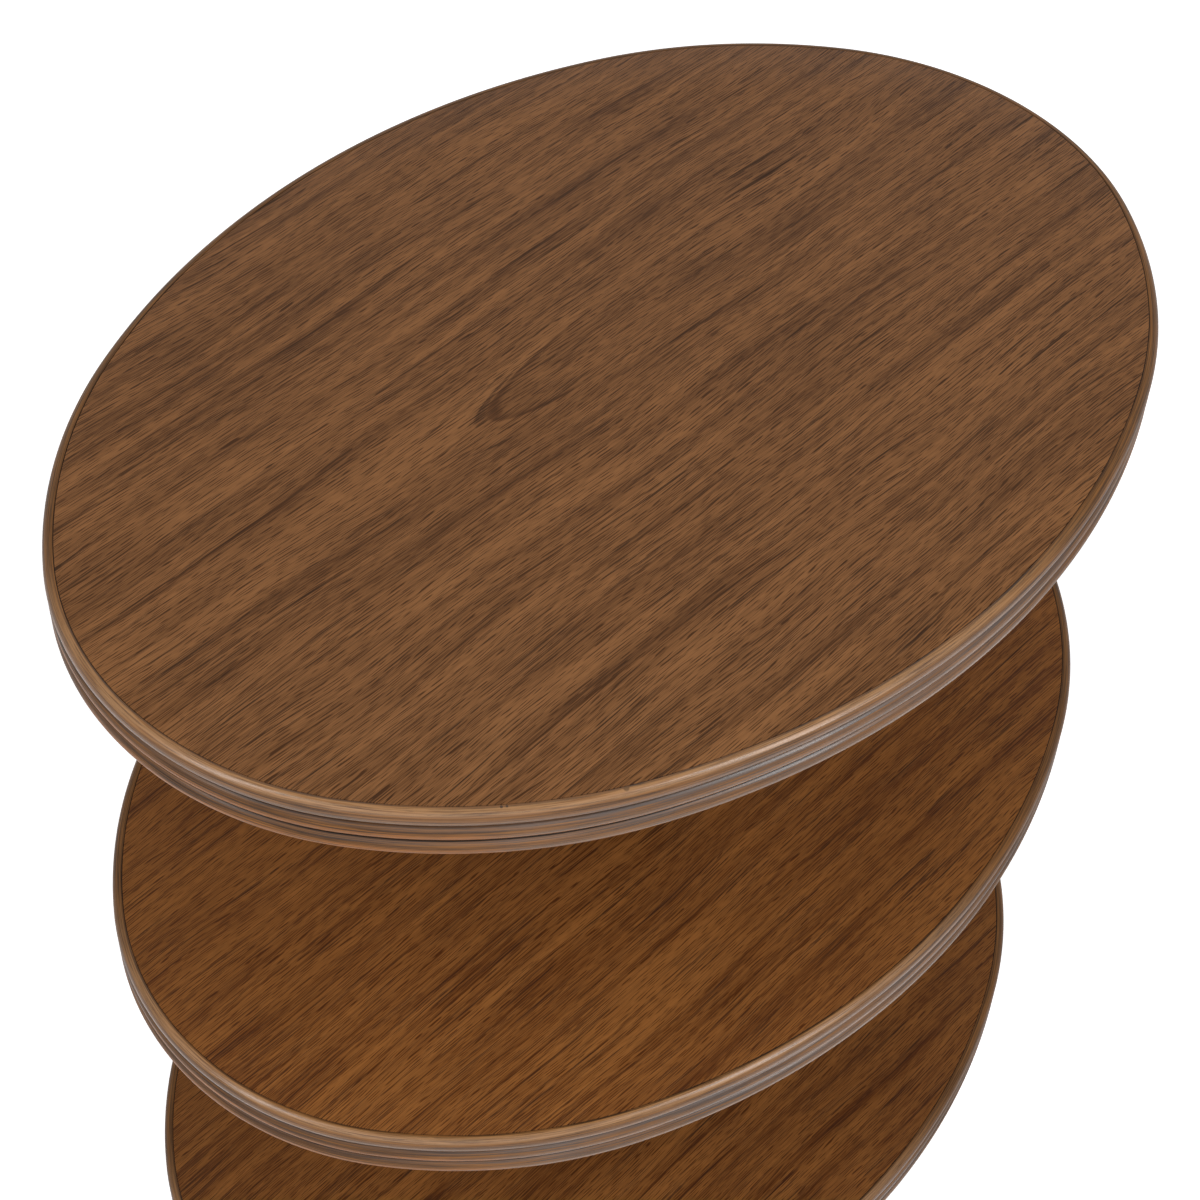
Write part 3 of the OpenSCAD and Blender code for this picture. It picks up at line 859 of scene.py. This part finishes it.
@dataclass(frozen=True)
class Oval:
    """Oval of eight arcs that run into each other: two ends, four shoulders and two sides."""

    length: float = 610.0
    width: float = 443.0
    end_angle: float = 35.0
    side_angle: float = 65.0
    shoulder_share: float = 1.01
    step: float = 1.0

    def arcs(self) -> list[Arc]:
        """Works out the arcs.

        The shoulders' radius is a share of the geometric mean of the half length and the half width. The ends' and the
        sides' radii solve two linear equations: the arcs that meet with one tangent reach both halves.

        Returns:
            The arcs in order, from the right end towards the back.
        """
        a, b = self.length / 2, self.width / 2
        end, side = math.radians(self.end_angle), math.radians(self.side_angle)
        shoulder = self.shoulder_share * math.sqrt(a * b)
        length_left = a - shoulder * (math.cos(end) - math.cos(side))
        width_left = b - shoulder * (math.sin(side) - math.sin(end))
        determinant = (1 - math.cos(end)) * (1 - math.sin(side)) - math.sin(end) * math.cos(side)
        end_radius = (length_left * (1 - math.sin(side)) - width_left * math.cos(side)) / determinant
        side_radius = (width_left * (1 - math.cos(end)) - length_left * math.sin(end)) / determinant
        end_x = a - end_radius
        x = end_x - (shoulder - end_radius) * math.cos(end)
        y = -(shoulder - end_radius) * math.sin(end)
        e, s = self.end_angle, self.side_angle
        return [
            Arc("right_end", (end_x, 0.0), end_radius, -e, e),
            Arc("back_right", (x, y), shoulder, e, s),
            Arc("back", (0.0, b - side_radius), side_radius, s, 180 - s),
            Arc("back_left", (-x, y), shoulder, 180 - s, 180 - e),
            Arc("left_end", (-end_x, 0.0), end_radius, 180 - e, 180 + e),
            Arc("front_left", (-x, -y), shoulder, 180 + e, 180 + s),
            Arc("front", (0.0, side_radius - b), side_radius, 180 + s, 360 - s),
            Arc("front_right", (x, -y), shoulder, 360 - s, 360 - e),
        ]

    def outline(self, inset: float) -> np.ndarray:
        """Draws the whole oval.

        Args:
            inset: How far inside the rim.

        Returns:
            The points, in the same order for every inset.
        """
        rows = []
        for arc in self.arcs():
            steps = round((arc.stop - arc.start) / self.step)
            turn = np.radians(np.linspace(arc.start, arc.stop, steps, endpoint=False))
            rows.append(arc.points(np.full(steps, inset), turn))
        return np.concatenate(rows)


def dress(piece: bpy.types.Object, material: bpy.types.Material) -> None:
    """Gives an object one material.

    Args:
        piece: The object.
        material: The material.
    """
    piece.data.materials.clear()
    piece.data.materials.append(material)
    LOG.info("%s: dressed in %s", piece.name, material.name)


def stand_in(mesh: bpy.types.Mesh, slot: Slot, material: bpy.types.Material, *nodes: str) -> None:
    """Adds a piece in place of nodes of the frame.

    Args:
        mesh: The piece's mesh, in the frame's axes.
        slot: Not used.
        material: Its material.
        nodes: The nodes that it replaces.
    """
    piece = bpy.data.objects.new(mesh.name, mesh)
    bpy.context.scene.collection.objects.link(piece)
    dress(piece, material)
    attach(piece, ROOT)
    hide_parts(*nodes)
    LOG.info("%s: %d faces, stands in for %s", piece.name, len(mesh.polygons), ", ".join(nodes))


def eased_copy(node: str, name: str, slot: Slot, material: bpy.types.Material, crease: float = 30.0) -> None:
    """Replaces a node by a copy of its own mesh, merged and smooth but for its sharp edges.

    Args:
        node: The node.
        name: Name of the copy.
        slot: Slot of the record, passed on to stand_in.
        material: Its material.
        crease: Angle past which an edge stays sharp.
    """
    work = bmesh.new()
    work.from_mesh(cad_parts[node].data)
    bmesh.ops.remove_doubles(work, verts=work.verts, dist=MERGE * MM)
    mesh = bpy.data.meshes.new(name)
    work.to_mesh(mesh)
    work.free()
    mesh.polygons.foreach_set("use_smooth", np.ones(len(mesh.polygons), bool))
    mesh.set_sharp_from_angle(angle=math.radians(crease))
    stand_in(mesh, slot, material, node)


@dataclass
class Tier:
    """One oval tier: veneered core and reeded edging in eight lengths."""

    name: str
    underside: float
    veneer: VeneerFinish
    reeds: ReedFinish
    bored: bool = True
    oval: Oval = field(default_factory=Oval)
    thickness: float = 28.5
    veneer_thickness: float = 0.6
    edging_width: float = 16.0
    reed_count: int = 3
    groove_depth: float = 2.75
    reed_land: float = 0.35
    quirk: float = 0.4
    tongue_thickness: float = 6.0
    tongue_length: float = 8.0
    bore: float = 5.5
    arris: float = 0.15
    arris_steps: int = 4
    reed_steps: int = 22
    outer_hollow_share: float = 0.55
    face_ring_shares: tuple[float, ...] = (0.0, 0.3, 0.6, 0.85)
    back_ring_shares: tuple[float, ...] = (0.6, 0.0)

    @property
    def reed_radius(self) -> float:
        """Returns the radius of one reed."""
        return self.thickness / (2 * self.reed_count)

    def section(self) -> tuple[np.ndarray, np.ndarray, np.ndarray, np.ndarray]:
        """Closed section of the edging, as insets from the rim and heights over the tier's underside.

        Each reed is a circle of the reed radius whose inset is that radius less its cosine part. The reeds are cut
        off at the groove depth between them and at the quirk above and below, and the tongue closes the section.

        Returns:
            The section's points, each point's hollow from 0 on a crown to 1 in a groove, its flank from 1 at a reed's
            upper edge to -1 at its lower edge, and its reed's number.
        """
        radius = self.reed_radius
        groove = math.degrees(math.acos(1 - self.groove_depth / radius))
        land = 90 + math.degrees(math.asin(self.reed_land / radius))
        points, hollows, flanks, reeds = [], [], [], []
        for number in range(self.reed_count):
            top = land if number == 0 else groove
            bottom = -land if number == self.reed_count - 1 else -groove
            turn = np.radians(np.linspace(top, bottom, self.reed_steps + 1))
            middle = self.thickness - radius * (2 * number + 1)
            inset = radius * (1 - np.cos(turn))
            points.append(np.stack([inset, middle + radius * np.sin(turn)], -1))
            outer = (number == 0) & (turn > 0) | (number == self.reed_count - 1) & (turn < 0)
            depth = np.where(outer, inset / radius - self.outer_hollow_share, inset / self.groove_depth)
            hollows.append(np.clip(depth, 0, 1))
            flanks.append(np.where(outer, turn / (np.pi / 2), turn / math.radians(groove)))
            reeds.append(np.full(len(turn), number + 1.0))
        inset, back = radius + self.reed_land, self.edging_width
        low, high = self.veneer_thickness, self.thickness - self.veneer_thickness
        tongue = self.thickness / 2 - self.tongue_thickness / 2
        body = np.array([
            [inset, low], [back, low], [back, tongue], [back + self.tongue_length, tongue],
            [back + self.tongue_length, self.thickness - tongue], [back, self.thickness - tongue],
            [back, high], [inset, high],
        ])
        points.append(body)
        hollows.append(np.ones(len(body)))
        flanks.append(np.full(len(body), -1.0))
        reeds.append(np.full(len(body), self.reed_count + 1.0))
        return np.concatenate(points), np.concatenate(hollows), np.concatenate(flanks), np.concatenate(reeds)

    def edging(self, arc: Arc, run_start: float) -> Skin:
        """One length of the edging: the section carried round its arc, with a flat face at each end.

        Args:
            arc: The arc.
            run_start: Length of the rim before the arc.

        Returns:
            The skin, with its UVs along the rim and round the section.
        """
        section, hollow, flank, reed = self.section()
        rows = round((arc.stop - arc.start) / self.oval.step) + 1
        turn = np.radians(np.linspace(arc.start, arc.stop, rows))[:, None]
        flat = arc.points(section[None, :, 0] + 0 * turn, turn + 0 * section[None, :, 0])
        height = np.broadcast_to(section[None, :, 1] + self.underside, flat.shape[:2])
        skin = Skin(f"{self.name}_reeds_{arc.name}")
        skin.points = np.concatenate([flat, height[..., None]], -1).reshape(-1, 3)
        columns = len(section)
        corners, place = grid_faces(rows, columns, False, True)
        girth = girths(section)
        run = run_start + arc.radius * (turn[:, 0] - turn[0, 0])
        skin.faces(corners[:, ::-1], np.stack([run[place[..., 0]], girth[place[..., 1]]], -1)[:, ::-1])
        first, last = np.arange(columns), (rows - 1) * columns + np.arange(columns)
        skin.faces(first[None, :], section[None])
        skin.faces(last[None, ::-1], section[None, ::-1])
        skin.numbers = {"hollow": np.tile(hollow, rows), "flank": np.tile(flank, rows), "reed": np.tile(reed, rows)}
        return skin

    def sheet(self) -> Skin:
        """Face veneer: rings from the bore or the middle to the rim, over an eased arris and back underneath.

        A ring on the face or the back is the bore's ring plus a share of the way from it to the rim.

        Returns:
            The skin.
        """
        inset = self.reed_radius + self.reed_land + self.quirk
        top, bottom = self.underside + self.thickness, self.underside + self.thickness - self.veneer_thickness
        edge = arc_line((0, 0), self.arris, 90, 0, self.arris_steps)
        rim = self.oval.outline(inset + self.arris)
        outward = self.oval.outline(inset) - rim
        outward = outward / np.linalg.norm(outward, axis=1, keepdims=True)
        hole = rim / np.linalg.norm(rim, axis=1, keepdims=True) * self.bore
        rings = [(hole + (rim - hole) * share, top) for share in self.face_ring_shares]
        rings += [(rim + outward * out, top - self.arris + up) for out, up in edge]
        rings.append((rim + outward * self.arris, bottom))
        rings += [(hole + (rim - hole) * share, bottom) for share in self.back_ring_shares]
        stack = [np.concatenate([flat, np.full((len(flat), 1), z)], 1) for flat, z in rings]
        skin = Skin(f"{self.name}_veneer")
        columns = len(rim)
        skin.points = np.concatenate(stack)
        corners, _ = grid_faces(len(rings), columns, self.bored, True)
        skin.faces(corners, skin.points[corners][..., :2])
        if not self.bored:
            skin.faces(np.arange(columns)[None, :], hole[None])
            under = (len(rings) - 1) * columns + np.arange(columns)
            skin.faces(under[None, ::-1], hole[None, ::-1])
        return skin

    def build(self, board: bpy.types.Material, backing: bpy.types.Material) -> None:
        """Builds the edging and the face veneer, and dresses the core and the backing veneer.

        Args:
            board: Material of the core.
            backing: Material of the backing veneer.
        """
        reeds, run = self.reeds.material(), 0.0
        for arc in self.oval.arcs():
            stand_in(self.edging(arc, run).mesh(), Slot.REEDS, reeds, f"{self.name}_edging_{arc.name}")
            run += arc.length()
        stand_in(self.sheet().mesh(), Slot.FACE, self.veneer.material(), f"{self.name}_face_veneer")
        dress(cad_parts[f"{self.name}_core"], board)
        dress(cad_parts[f"{self.name}_backing_veneer"], backing)


def swelling(middle: float, end: float, span: float, height: float, steps: int) -> np.ndarray:
    """Arc that swells between two equal ends; its radius follows from the span and the swell.

    Args:
        middle: Distance from the axis at the middle.
        end: Distance from the axis at both ends.
        span: Height of the middle over the lower end.
        height: Height of the middle.
        steps: Number of steps.

    Returns:
        Radii and heights, upwards.
    """
    swell = middle - end
    bow = (span * span + swell * swell) / (2 * swell)
    reach = math.degrees(math.asin(span / bow))
    return arc_line((middle - bow, height), bow, -reach, reach, steps)


@dataclass
class Column:
    """Turned and bored column."""

    name: str
    node: str
    base: float
    height: float
    bore: float = 5.5
    flange_radius: float = 46.0
    flange_height: float = 14.0
    shoulder_radius: float = 34.0
    shoulder_height: float = 3.0
    cove_radius: float = 10.0
    ring_radius: float = 28.0
    ring_height: float = 8.0
    shaft_end: float = 20.0
    shaft_middle: float = 26.0
    nose_steps: int = 24
    cove_steps: int = 18
    bead_steps: int = 20
    shaft_steps: int = 28
    turn_steps: int = 120

    def half(self) -> np.ndarray:
        """Turned moulding at the lower end, drawn in arcs: bullnose flange, shoulder, cove and ring.

        Returns:
            Its radii and heights, from the bore outwards and up.
        """
        nose, bead = self.flange_height / 2, self.ring_height / 2
        shoulder_z = self.flange_height + self.shoulder_height
        ring_z = shoulder_z + self.cove_radius
        return np.concatenate([
            [[self.bore, 0.0]],
            arc_line((self.flange_radius - nose, nose), nose, -90, 90, self.nose_steps),
            [[self.shoulder_radius, self.flange_height]],
            arc_line((self.shoulder_radius, ring_z), self.cove_radius, -90, -180, self.cove_steps),
            arc_line((self.ring_radius - bead, ring_z + bead), bead, -90, 90, self.bead_steps),
        ])

    def section(self) -> np.ndarray:
        """Whole section: the moulding, a shaft that swells in one arc, and the moulding mirrored.

        Returns:
            Its radii and heights, a loop that the bore closes.
        """
        half = self.half()
        middle = self.height / 2
        shaft = swelling(self.shaft_middle, self.shaft_end, middle - half[-1, 1], middle, self.shaft_steps)
        mirrored = half[::-1] * [1, -1] + [0, self.height]
        return np.concatenate([half, shaft, mirrored])

    def build(self, finish: TurnedFinish) -> None:
        """Builds the column in place of its node."""
        skin = lathe(self.name, self.section(), (0.0, 0.0), self.base, self.turn_steps)
        stand_in(skin.mesh(TURNED_CREASE), Slot.TURNED, finish.material(), self.node)


@dataclass
class Foot:
    """Turned foot with a collar, a neck, a bulb, a ring and a tapered toe."""

    name: str
    node: str
    axis: Pair
    top: float
    height: float = 102.5
    hanger_bore: float = 4.05
    hanger_depth: float = 40.5
    nail_bore: float = 1.65
    nail_depth: float = 22.0
    collar_radius: float = 27.0
    collar_height: float = 8.0
    neck_radius: float = 15.0
    neck_height: float = 13.0
    bulb_radius: float = 30.0
    bulb_height: float = 46.0
    ring_radius: float = 20.0
    ring_height: float = 7.0
    toe_top: float = 16.0
    toe_end: float = 12.5
    hole_end: float = 0.02
    bead_steps: int = 16
    bulb_steps: int = 36
    neck_steps: int = 24
    turn_steps: int = 96

    def section(self) -> np.ndarray:
        """Whole section, from the nail's hole, out and up the foot, to the hanger bolt's hole.

        The ring, the bulb, the neck and the collar are arcs, and the toe is a straight taper. A tube as thin as a hair
        joins the ends of the two holes, so that the loop doesn't touch the axis.

        Returns:
            Its radii and heights, a loop that runs upwards on the outside.
        """
        collar, ring = self.collar_height / 2, self.ring_height / 2
        neck_z = -self.collar_height - self.neck_height
        bulb_z = neck_z - self.bulb_height
        hollow = self.neck_height / 2
        half_bulb = self.bulb_height / 2
        return np.concatenate([
            [[self.hole_end, self.nail_depth - self.height], [self.nail_bore, self.nail_depth - self.height]],
            [[self.nail_bore, -self.height], [self.toe_end, -self.height], [self.toe_top, bulb_z - self.ring_height]],
            arc_line((self.ring_radius - ring, bulb_z - ring), ring, -90, 90, self.bead_steps),
            swelling(self.bulb_radius, self.toe_top, half_bulb, bulb_z + half_bulb, self.bulb_steps),
            arc_line((self.neck_radius + hollow, neck_z + hollow), hollow, 270, 90, self.neck_steps),
            arc_line((self.collar_radius - collar, -collar), collar, -90, 90, self.bead_steps),
            [[self.hanger_bore, 0.0], [self.hanger_bore, -self.hanger_depth], [self.hole_end, -self.hanger_depth]],
        ])

    def build(self, finish: TurnedFinish) -> None:
        """Builds the foot in place of its node."""
        skin = lathe(self.name, self.section(), self.axis, self.top, self.turn_steps)
        stand_in(skin.mesh(TURNED_CREASE), Slot.TURNED, finish.material(), self.node)


@dataclass(frozen=True)
class Lamp:
    """Rectangular softbox that faces a point. Lengths are metres and the power is watts."""

    name: str
    place: tuple[float, float, float]
    aim: tuple[float, float, float]
    width: float
    height: float
    power: float

    def build(self) -> None:
        """Adds the lamp."""
        light = bpy.data.lights.new(self.name, "AREA")
        light.shape, light.size, light.size_y = "RECTANGLE", self.width, self.height
        light.energy = self.power
        holder = bpy.data.objects.new(self.name, light)
        holder.location = self.place
        holder.rotation_euler = (Vector(self.aim) - Vector(self.place)).to_track_quat("-Z", "Y").to_euler()
        bpy.context.scene.collection.objects.link(holder)


@dataclass(frozen=True)
class Studio:
    """Pale floor, plain surround and softboxes. Lengths are metres."""

    floor_side: float = 14.0
    floor_colour: Colour = (0.86, 0.86, 0.86, 1.0)
    floor_lift: float = 0.75
    near_floor: float = 1.0
    far_floor: float = 2.6
    ambient: float = 0.05
    lamps: Sequence[Lamp] = (
        Lamp("key", (-1.82, -1.53, 2.15), (-0.05, -0.05, 0.50), 2.4, 2.4, 28.0),
        Lamp("left_box", (-2.13, 0.48, 2.65), (-0.15, -0.05, 0.60), 0.42, 2.1, 43.0),
        Lamp("right_box", (0.38, -2.15, 2.65), (-0.05, -0.15, 0.60), 0.42, 2.1, 54.0),
        Lamp("back_fill", (2.30, 2.00, 1.00), (0.0, 0.0, 0.35), 1.8, 1.8, 3.0),
    )

    @staticmethod
    def seen(g: Graph) -> Signal:
        """Tells what is looked at from what only lights.

        Args:
            g: The graph to work in.

        Returns:
            1 for camera, glossy and transmission rays and 0 for others.
        """
        path = g.node("LightPath")
        camera, glossy, through = (g.signal(path, f"Is {kind} Ray") for kind in ("Camera", "Glossy", "Transmission"))
        return g.math("MAXIMUM", g.math("MAXIMUM", camera, glossy), through)

    def surround(self) -> None:
        """Makes the world: white where it is seen, a plain grey level where it lights."""
        world = bpy.data.worlds.new("surround")
        bpy.context.scene.world = world
        g = Graph(world, output="OutputWorld")
        light, white = (g.shader("Background", {"Color": WHITE, "Strength": level}) for level in (self.ambient, 1.0))
        g.close(g.shader("MixShader", {"Fac": self.seen(g), "Shader": light, "Shader_001": white}))

    def floor(self) -> None:
        """Makes the floor, which keeps the shadow and is lifted to white where it is seen in full light."""
        half = self.floor_side / 2
        mesh = bpy.data.meshes.new("floor")
        mesh.from_pydata([(-half, -half, 0), (half, -half, 0), (half, half, 0), (-half, half, 0)], [], [(0, 1, 2, 3)])
        plane = bpy.data.objects.new("floor", mesh)
        bpy.context.scene.collection.objects.link(plane)
        g = Graph(bpy.data.materials.new("pale_floor"))
        place = g.signal(g.node("TexCoord"), "Object")
        away = g.signal(g.node("VectorMath", {"operation": "LENGTH"}, {"Vector": place}), "Value")
        ends = {"From Min": self.near_floor, "From Max": self.far_floor, "To Min": self.floor_lift, "To Max": 1.0}
        lift = g.signal(g.node("MapRange", None, {"Value": away, **ends}), "Result")
        matt = g.shader("BsdfDiffuse", {"Color": self.floor_colour})
        glow = g.shader("Emission", {"Strength": self.seen(g) * lift})
        g.close(g.shader("AddShader", {"Shader": matt, "Shader_001": glow}))
        dress(plane, g.owner)

    def build(self) -> None:
        """Builds the surround, the floor and the lamps."""
        self.surround()
        self.floor()
        for lamp in self.lamps:
            lamp.build()


@dataclass(frozen=True)
class PhotoCamera:
    """Camera at the photograph's angle: it looks at a point from an azimuth and an elevation, rolled a little."""

    target: tuple[float, float, float] = (-117.3, -92.7, 660.0)
    distance: float = 1085.8
    azimuth: float = 48.126
    elevation: float = 47.887
    roll: float = 2.169
    focal: float = 74.58
    sensor: float = 36.0
    nearest: float = 10.0
    farthest: float = 100000.0

    def build(self) -> None:
        """Adds the camera and makes it the scene's camera."""
        turn, rise, roll = (math.radians(v) for v in (self.azimuth, self.elevation, self.roll))
        back = Vector((-math.sin(turn) * math.cos(rise), -math.cos(turn) * math.cos(rise), math.sin(rise)))
        level = Vector((math.cos(turn), -math.sin(turn), 0.0))
        upright = back.cross(level)
        right = math.cos(roll) * level + math.sin(roll) * upright
        up = math.cos(roll) * upright - math.sin(roll) * level
        lens = bpy.data.cameras.new("photo_camera")
        lens.sensor_fit, lens.sensor_width, lens.lens = "HORIZONTAL", self.sensor, self.focal
        lens.clip_start, lens.clip_end = self.nearest * MM, self.farthest * MM
        holder = bpy.data.objects.new("photo_camera", lens)
        place = (Vector(self.target) + back * self.distance) * MM
        holder.matrix_world = Matrix.Translation(place) @ Matrix((right, up, back)).transposed().to_4x4()
        bpy.context.scene.collection.objects.link(holder)
        bpy.context.scene.camera = holder


@dataclass(frozen=True)
class Palette:
    """Colours of the woods: pale, dark and pore, and of the edging also its glaze with painted shade, its haze with
    painted reflection, its rubbed crown with painted sheen, and its bare wood with painted light.
    """

    top: Sequence[Colour] = (srgb(134, 91, 55), srgb(64, 36, 12), srgb(34, 20, 10))
    lower: Sequence[Colour] = (srgb(138, 88, 42), srgb(74, 36, 8), srgb(36, 19, 8))
    turned: Sequence[Colour] = (srgb(124, 84, 56), srgb(72, 46, 30), srgb(40, 26, 18))
    edging: Sequence[Colour] = (
        srgb(128, 85, 44), srgb(58, 37, 20), srgb(26, 21, 18), srgb(86, 75, 70), srgb(166, 124, 82), srgb(160, 98, 40)
    )


@dataclass
class Table:
    """The whole table."""

    underside: float = 108.5
    pitch: float = 261.5
    thickness: float = 28.5
    plate_thickness: float = 16.0
    foot_x: float = 190.0
    foot_y: float = 105.0
    foot_heart: Pair = (30.0, -24.0)
    foot_heart_step: float = 8.0
    foot_seed: float = 20.0
    foot_seed_step: float = 3.0
    palette: Palette = Palette()
    pins: tuple[Pin, ...] = (
        Pin(1103.7, 0.9, 0.8, srgb(48, 32, 22)),
        Pin(1106.0, 0.8, 0.7, srgb(48, 32, 22)),
        Pin(1156.5, 1.1, 1.5, srgb(92, 64, 36)),
    )

    def tiers(self) -> list[Tier]:
        """Puts the tiers together.

        Returns:
            The three tiers from the bottom up.
        """
        lower, edging = self.palette.lower, self.palette.edging
        bottom = VeneerFinish(
            "walnut_bottom", *lower, seed=61.0, axis_y=-30.0, first_turn_x=60.0, ring_offset=0.3, streak_weight=0.6
        )
        middle = VeneerFinish(
            "walnut_middle", *lower, seed=37.0, axis_y=70.0, first_turn_x=20.0, ring_offset=0.5, streak_weight=0.6
        )
        top = VeneerFinish("walnut_top", *self.palette.top, seed=11.0)
        low, high = self.underside, self.underside + 2 * self.pitch
        return [
            Tier("bottom", low, bottom, ReedFinish("reeds_bottom", *edging, seed=71.0)),
            Tier("middle", low + self.pitch, middle, ReedFinish("reeds_middle", *edging, seed=43.0)),
            Tier("top", high, top, ReedFinish("reeds_top", *edging, seed=17.0, pins=self.pins), bored=False),
        ]

    def columns(self) -> None:
        """Builds the two columns and the mounting plate."""
        tones, gap = self.palette.turned, self.pitch - self.thickness
        base = self.underside + self.thickness
        lower = Column("lower_turned_column", "lower_column", base, gap)
        lower.build(TurnedFinish("turned_lower", *tones))
        upper = Column("upper_turned_column", "upper_column", base + self.pitch, gap - self.plate_thickness)
        upper.build(TurnedFinish("turned_upper", *tones, heart_x=-30.0, heart_y=26.0, seed=5.0))
        plate = TurnedFinish("turned_plate", *tones, heart_x=70.0, heart_y=50.0, seed=9.0)
        eased_copy("mounting_plate", "turned_plate", Slot.TURNED, plate.material())

    def feet(self) -> None:
        """Builds the four feet, each cut from its own place in the wood."""
        places = (("front_left", -1, -1), ("front_right", 1, -1), ("back_left", -1, 1), ("back_right", 1, 1))
        for number, (place, x, y) in enumerate(places):
            axis = (x * self.foot_x, y * self.foot_y)
            heart_x = axis[0] + self.foot_heart[0]
            heart_y = axis[1] + self.foot_heart[1] + self.foot_heart_step * number
            seed = self.foot_seed + self.foot_seed_step * number
            finish = TurnedFinish(f"turned_{place}", *self.palette.turned, heart_x, heart_y, seed)
            Foot(f"turned_foot_{place}", f"foot_{place}", axis, self.underside).build(finish)

    @staticmethod
    def hardware() -> None:
        """Smooths the metal and nylon pieces, and dresses the dowels."""
        metal = {"grain": (0.8, 0.8, 0.8), "metallic": 1.0, "roughness_range": 0.15}
        steel = PlainFinish("steel", srgb(186, 186, 184), srgb(150, 150, 150), roughness=0.32, **metal)
        brass = PlainFinish("brass", srgb(196, 160, 92), srgb(168, 130, 70), roughness=0.34, **metal)
        nylon = PlainFinish("nylon", srgb(52, 40, 32), srgb(40, 30, 24), grain=(0.7, 0.7, 0.7), roughness=0.5)
        beech = PlainFinish("beech", srgb(206, 168, 122), srgb(178, 138, 96), grain=(1.0, 1.0, 9.0), roughness=0.65)
        steel_nodes = ("plate_screws", "tie_rod", "tie_washer", "tie_nut", "tee_nut", "hanger_bolts", "glide_nails")
        kinds = (
            (Slot.STEEL, steel, steel_nodes),
            (Slot.BRASS, brass, ("insert_nuts",)),
            (Slot.NYLON, nylon, ("foot_glides",)),
        )
        for slot, finish, nodes in kinds:
            material = finish.material()
            for node in nodes:
                eased_copy(node, f"{node}_smooth", slot, material)
        dress(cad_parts["column_dowels"], beech.material())

    def build(self) -> None:
        """Builds every sub-assembly in order, from the top tier down to the glides."""
        board = PlainFinish("core_board", srgb(196, 168, 128), srgb(164, 132, 94), grain=(1.4, 1.4, 1.4), roughness=0.8)
        backing = PlainFinish("backing", srgb(124, 88, 60), srgb(92, 62, 42), grain=(28.0, 1.2, 4.0), roughness=0.6)
        board_material, backing_material = board.material(), backing.material()
        for tier in reversed(self.tiers()):
            tier.build(board_material, backing_material)
        self.columns()
        self.feet()
        self.hardware()


def main() -> None:
    """Builds the camera, the studio and the table."""
    logging.basicConfig(level=logging.INFO, format="%(name)s: %(message)s")
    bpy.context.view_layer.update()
    bpy.context.scene.view_settings.view_transform = "Standard"
    PhotoCamera().build()
    Studio().build()
    Table().build()


if __name__ == "__main__":
    main()
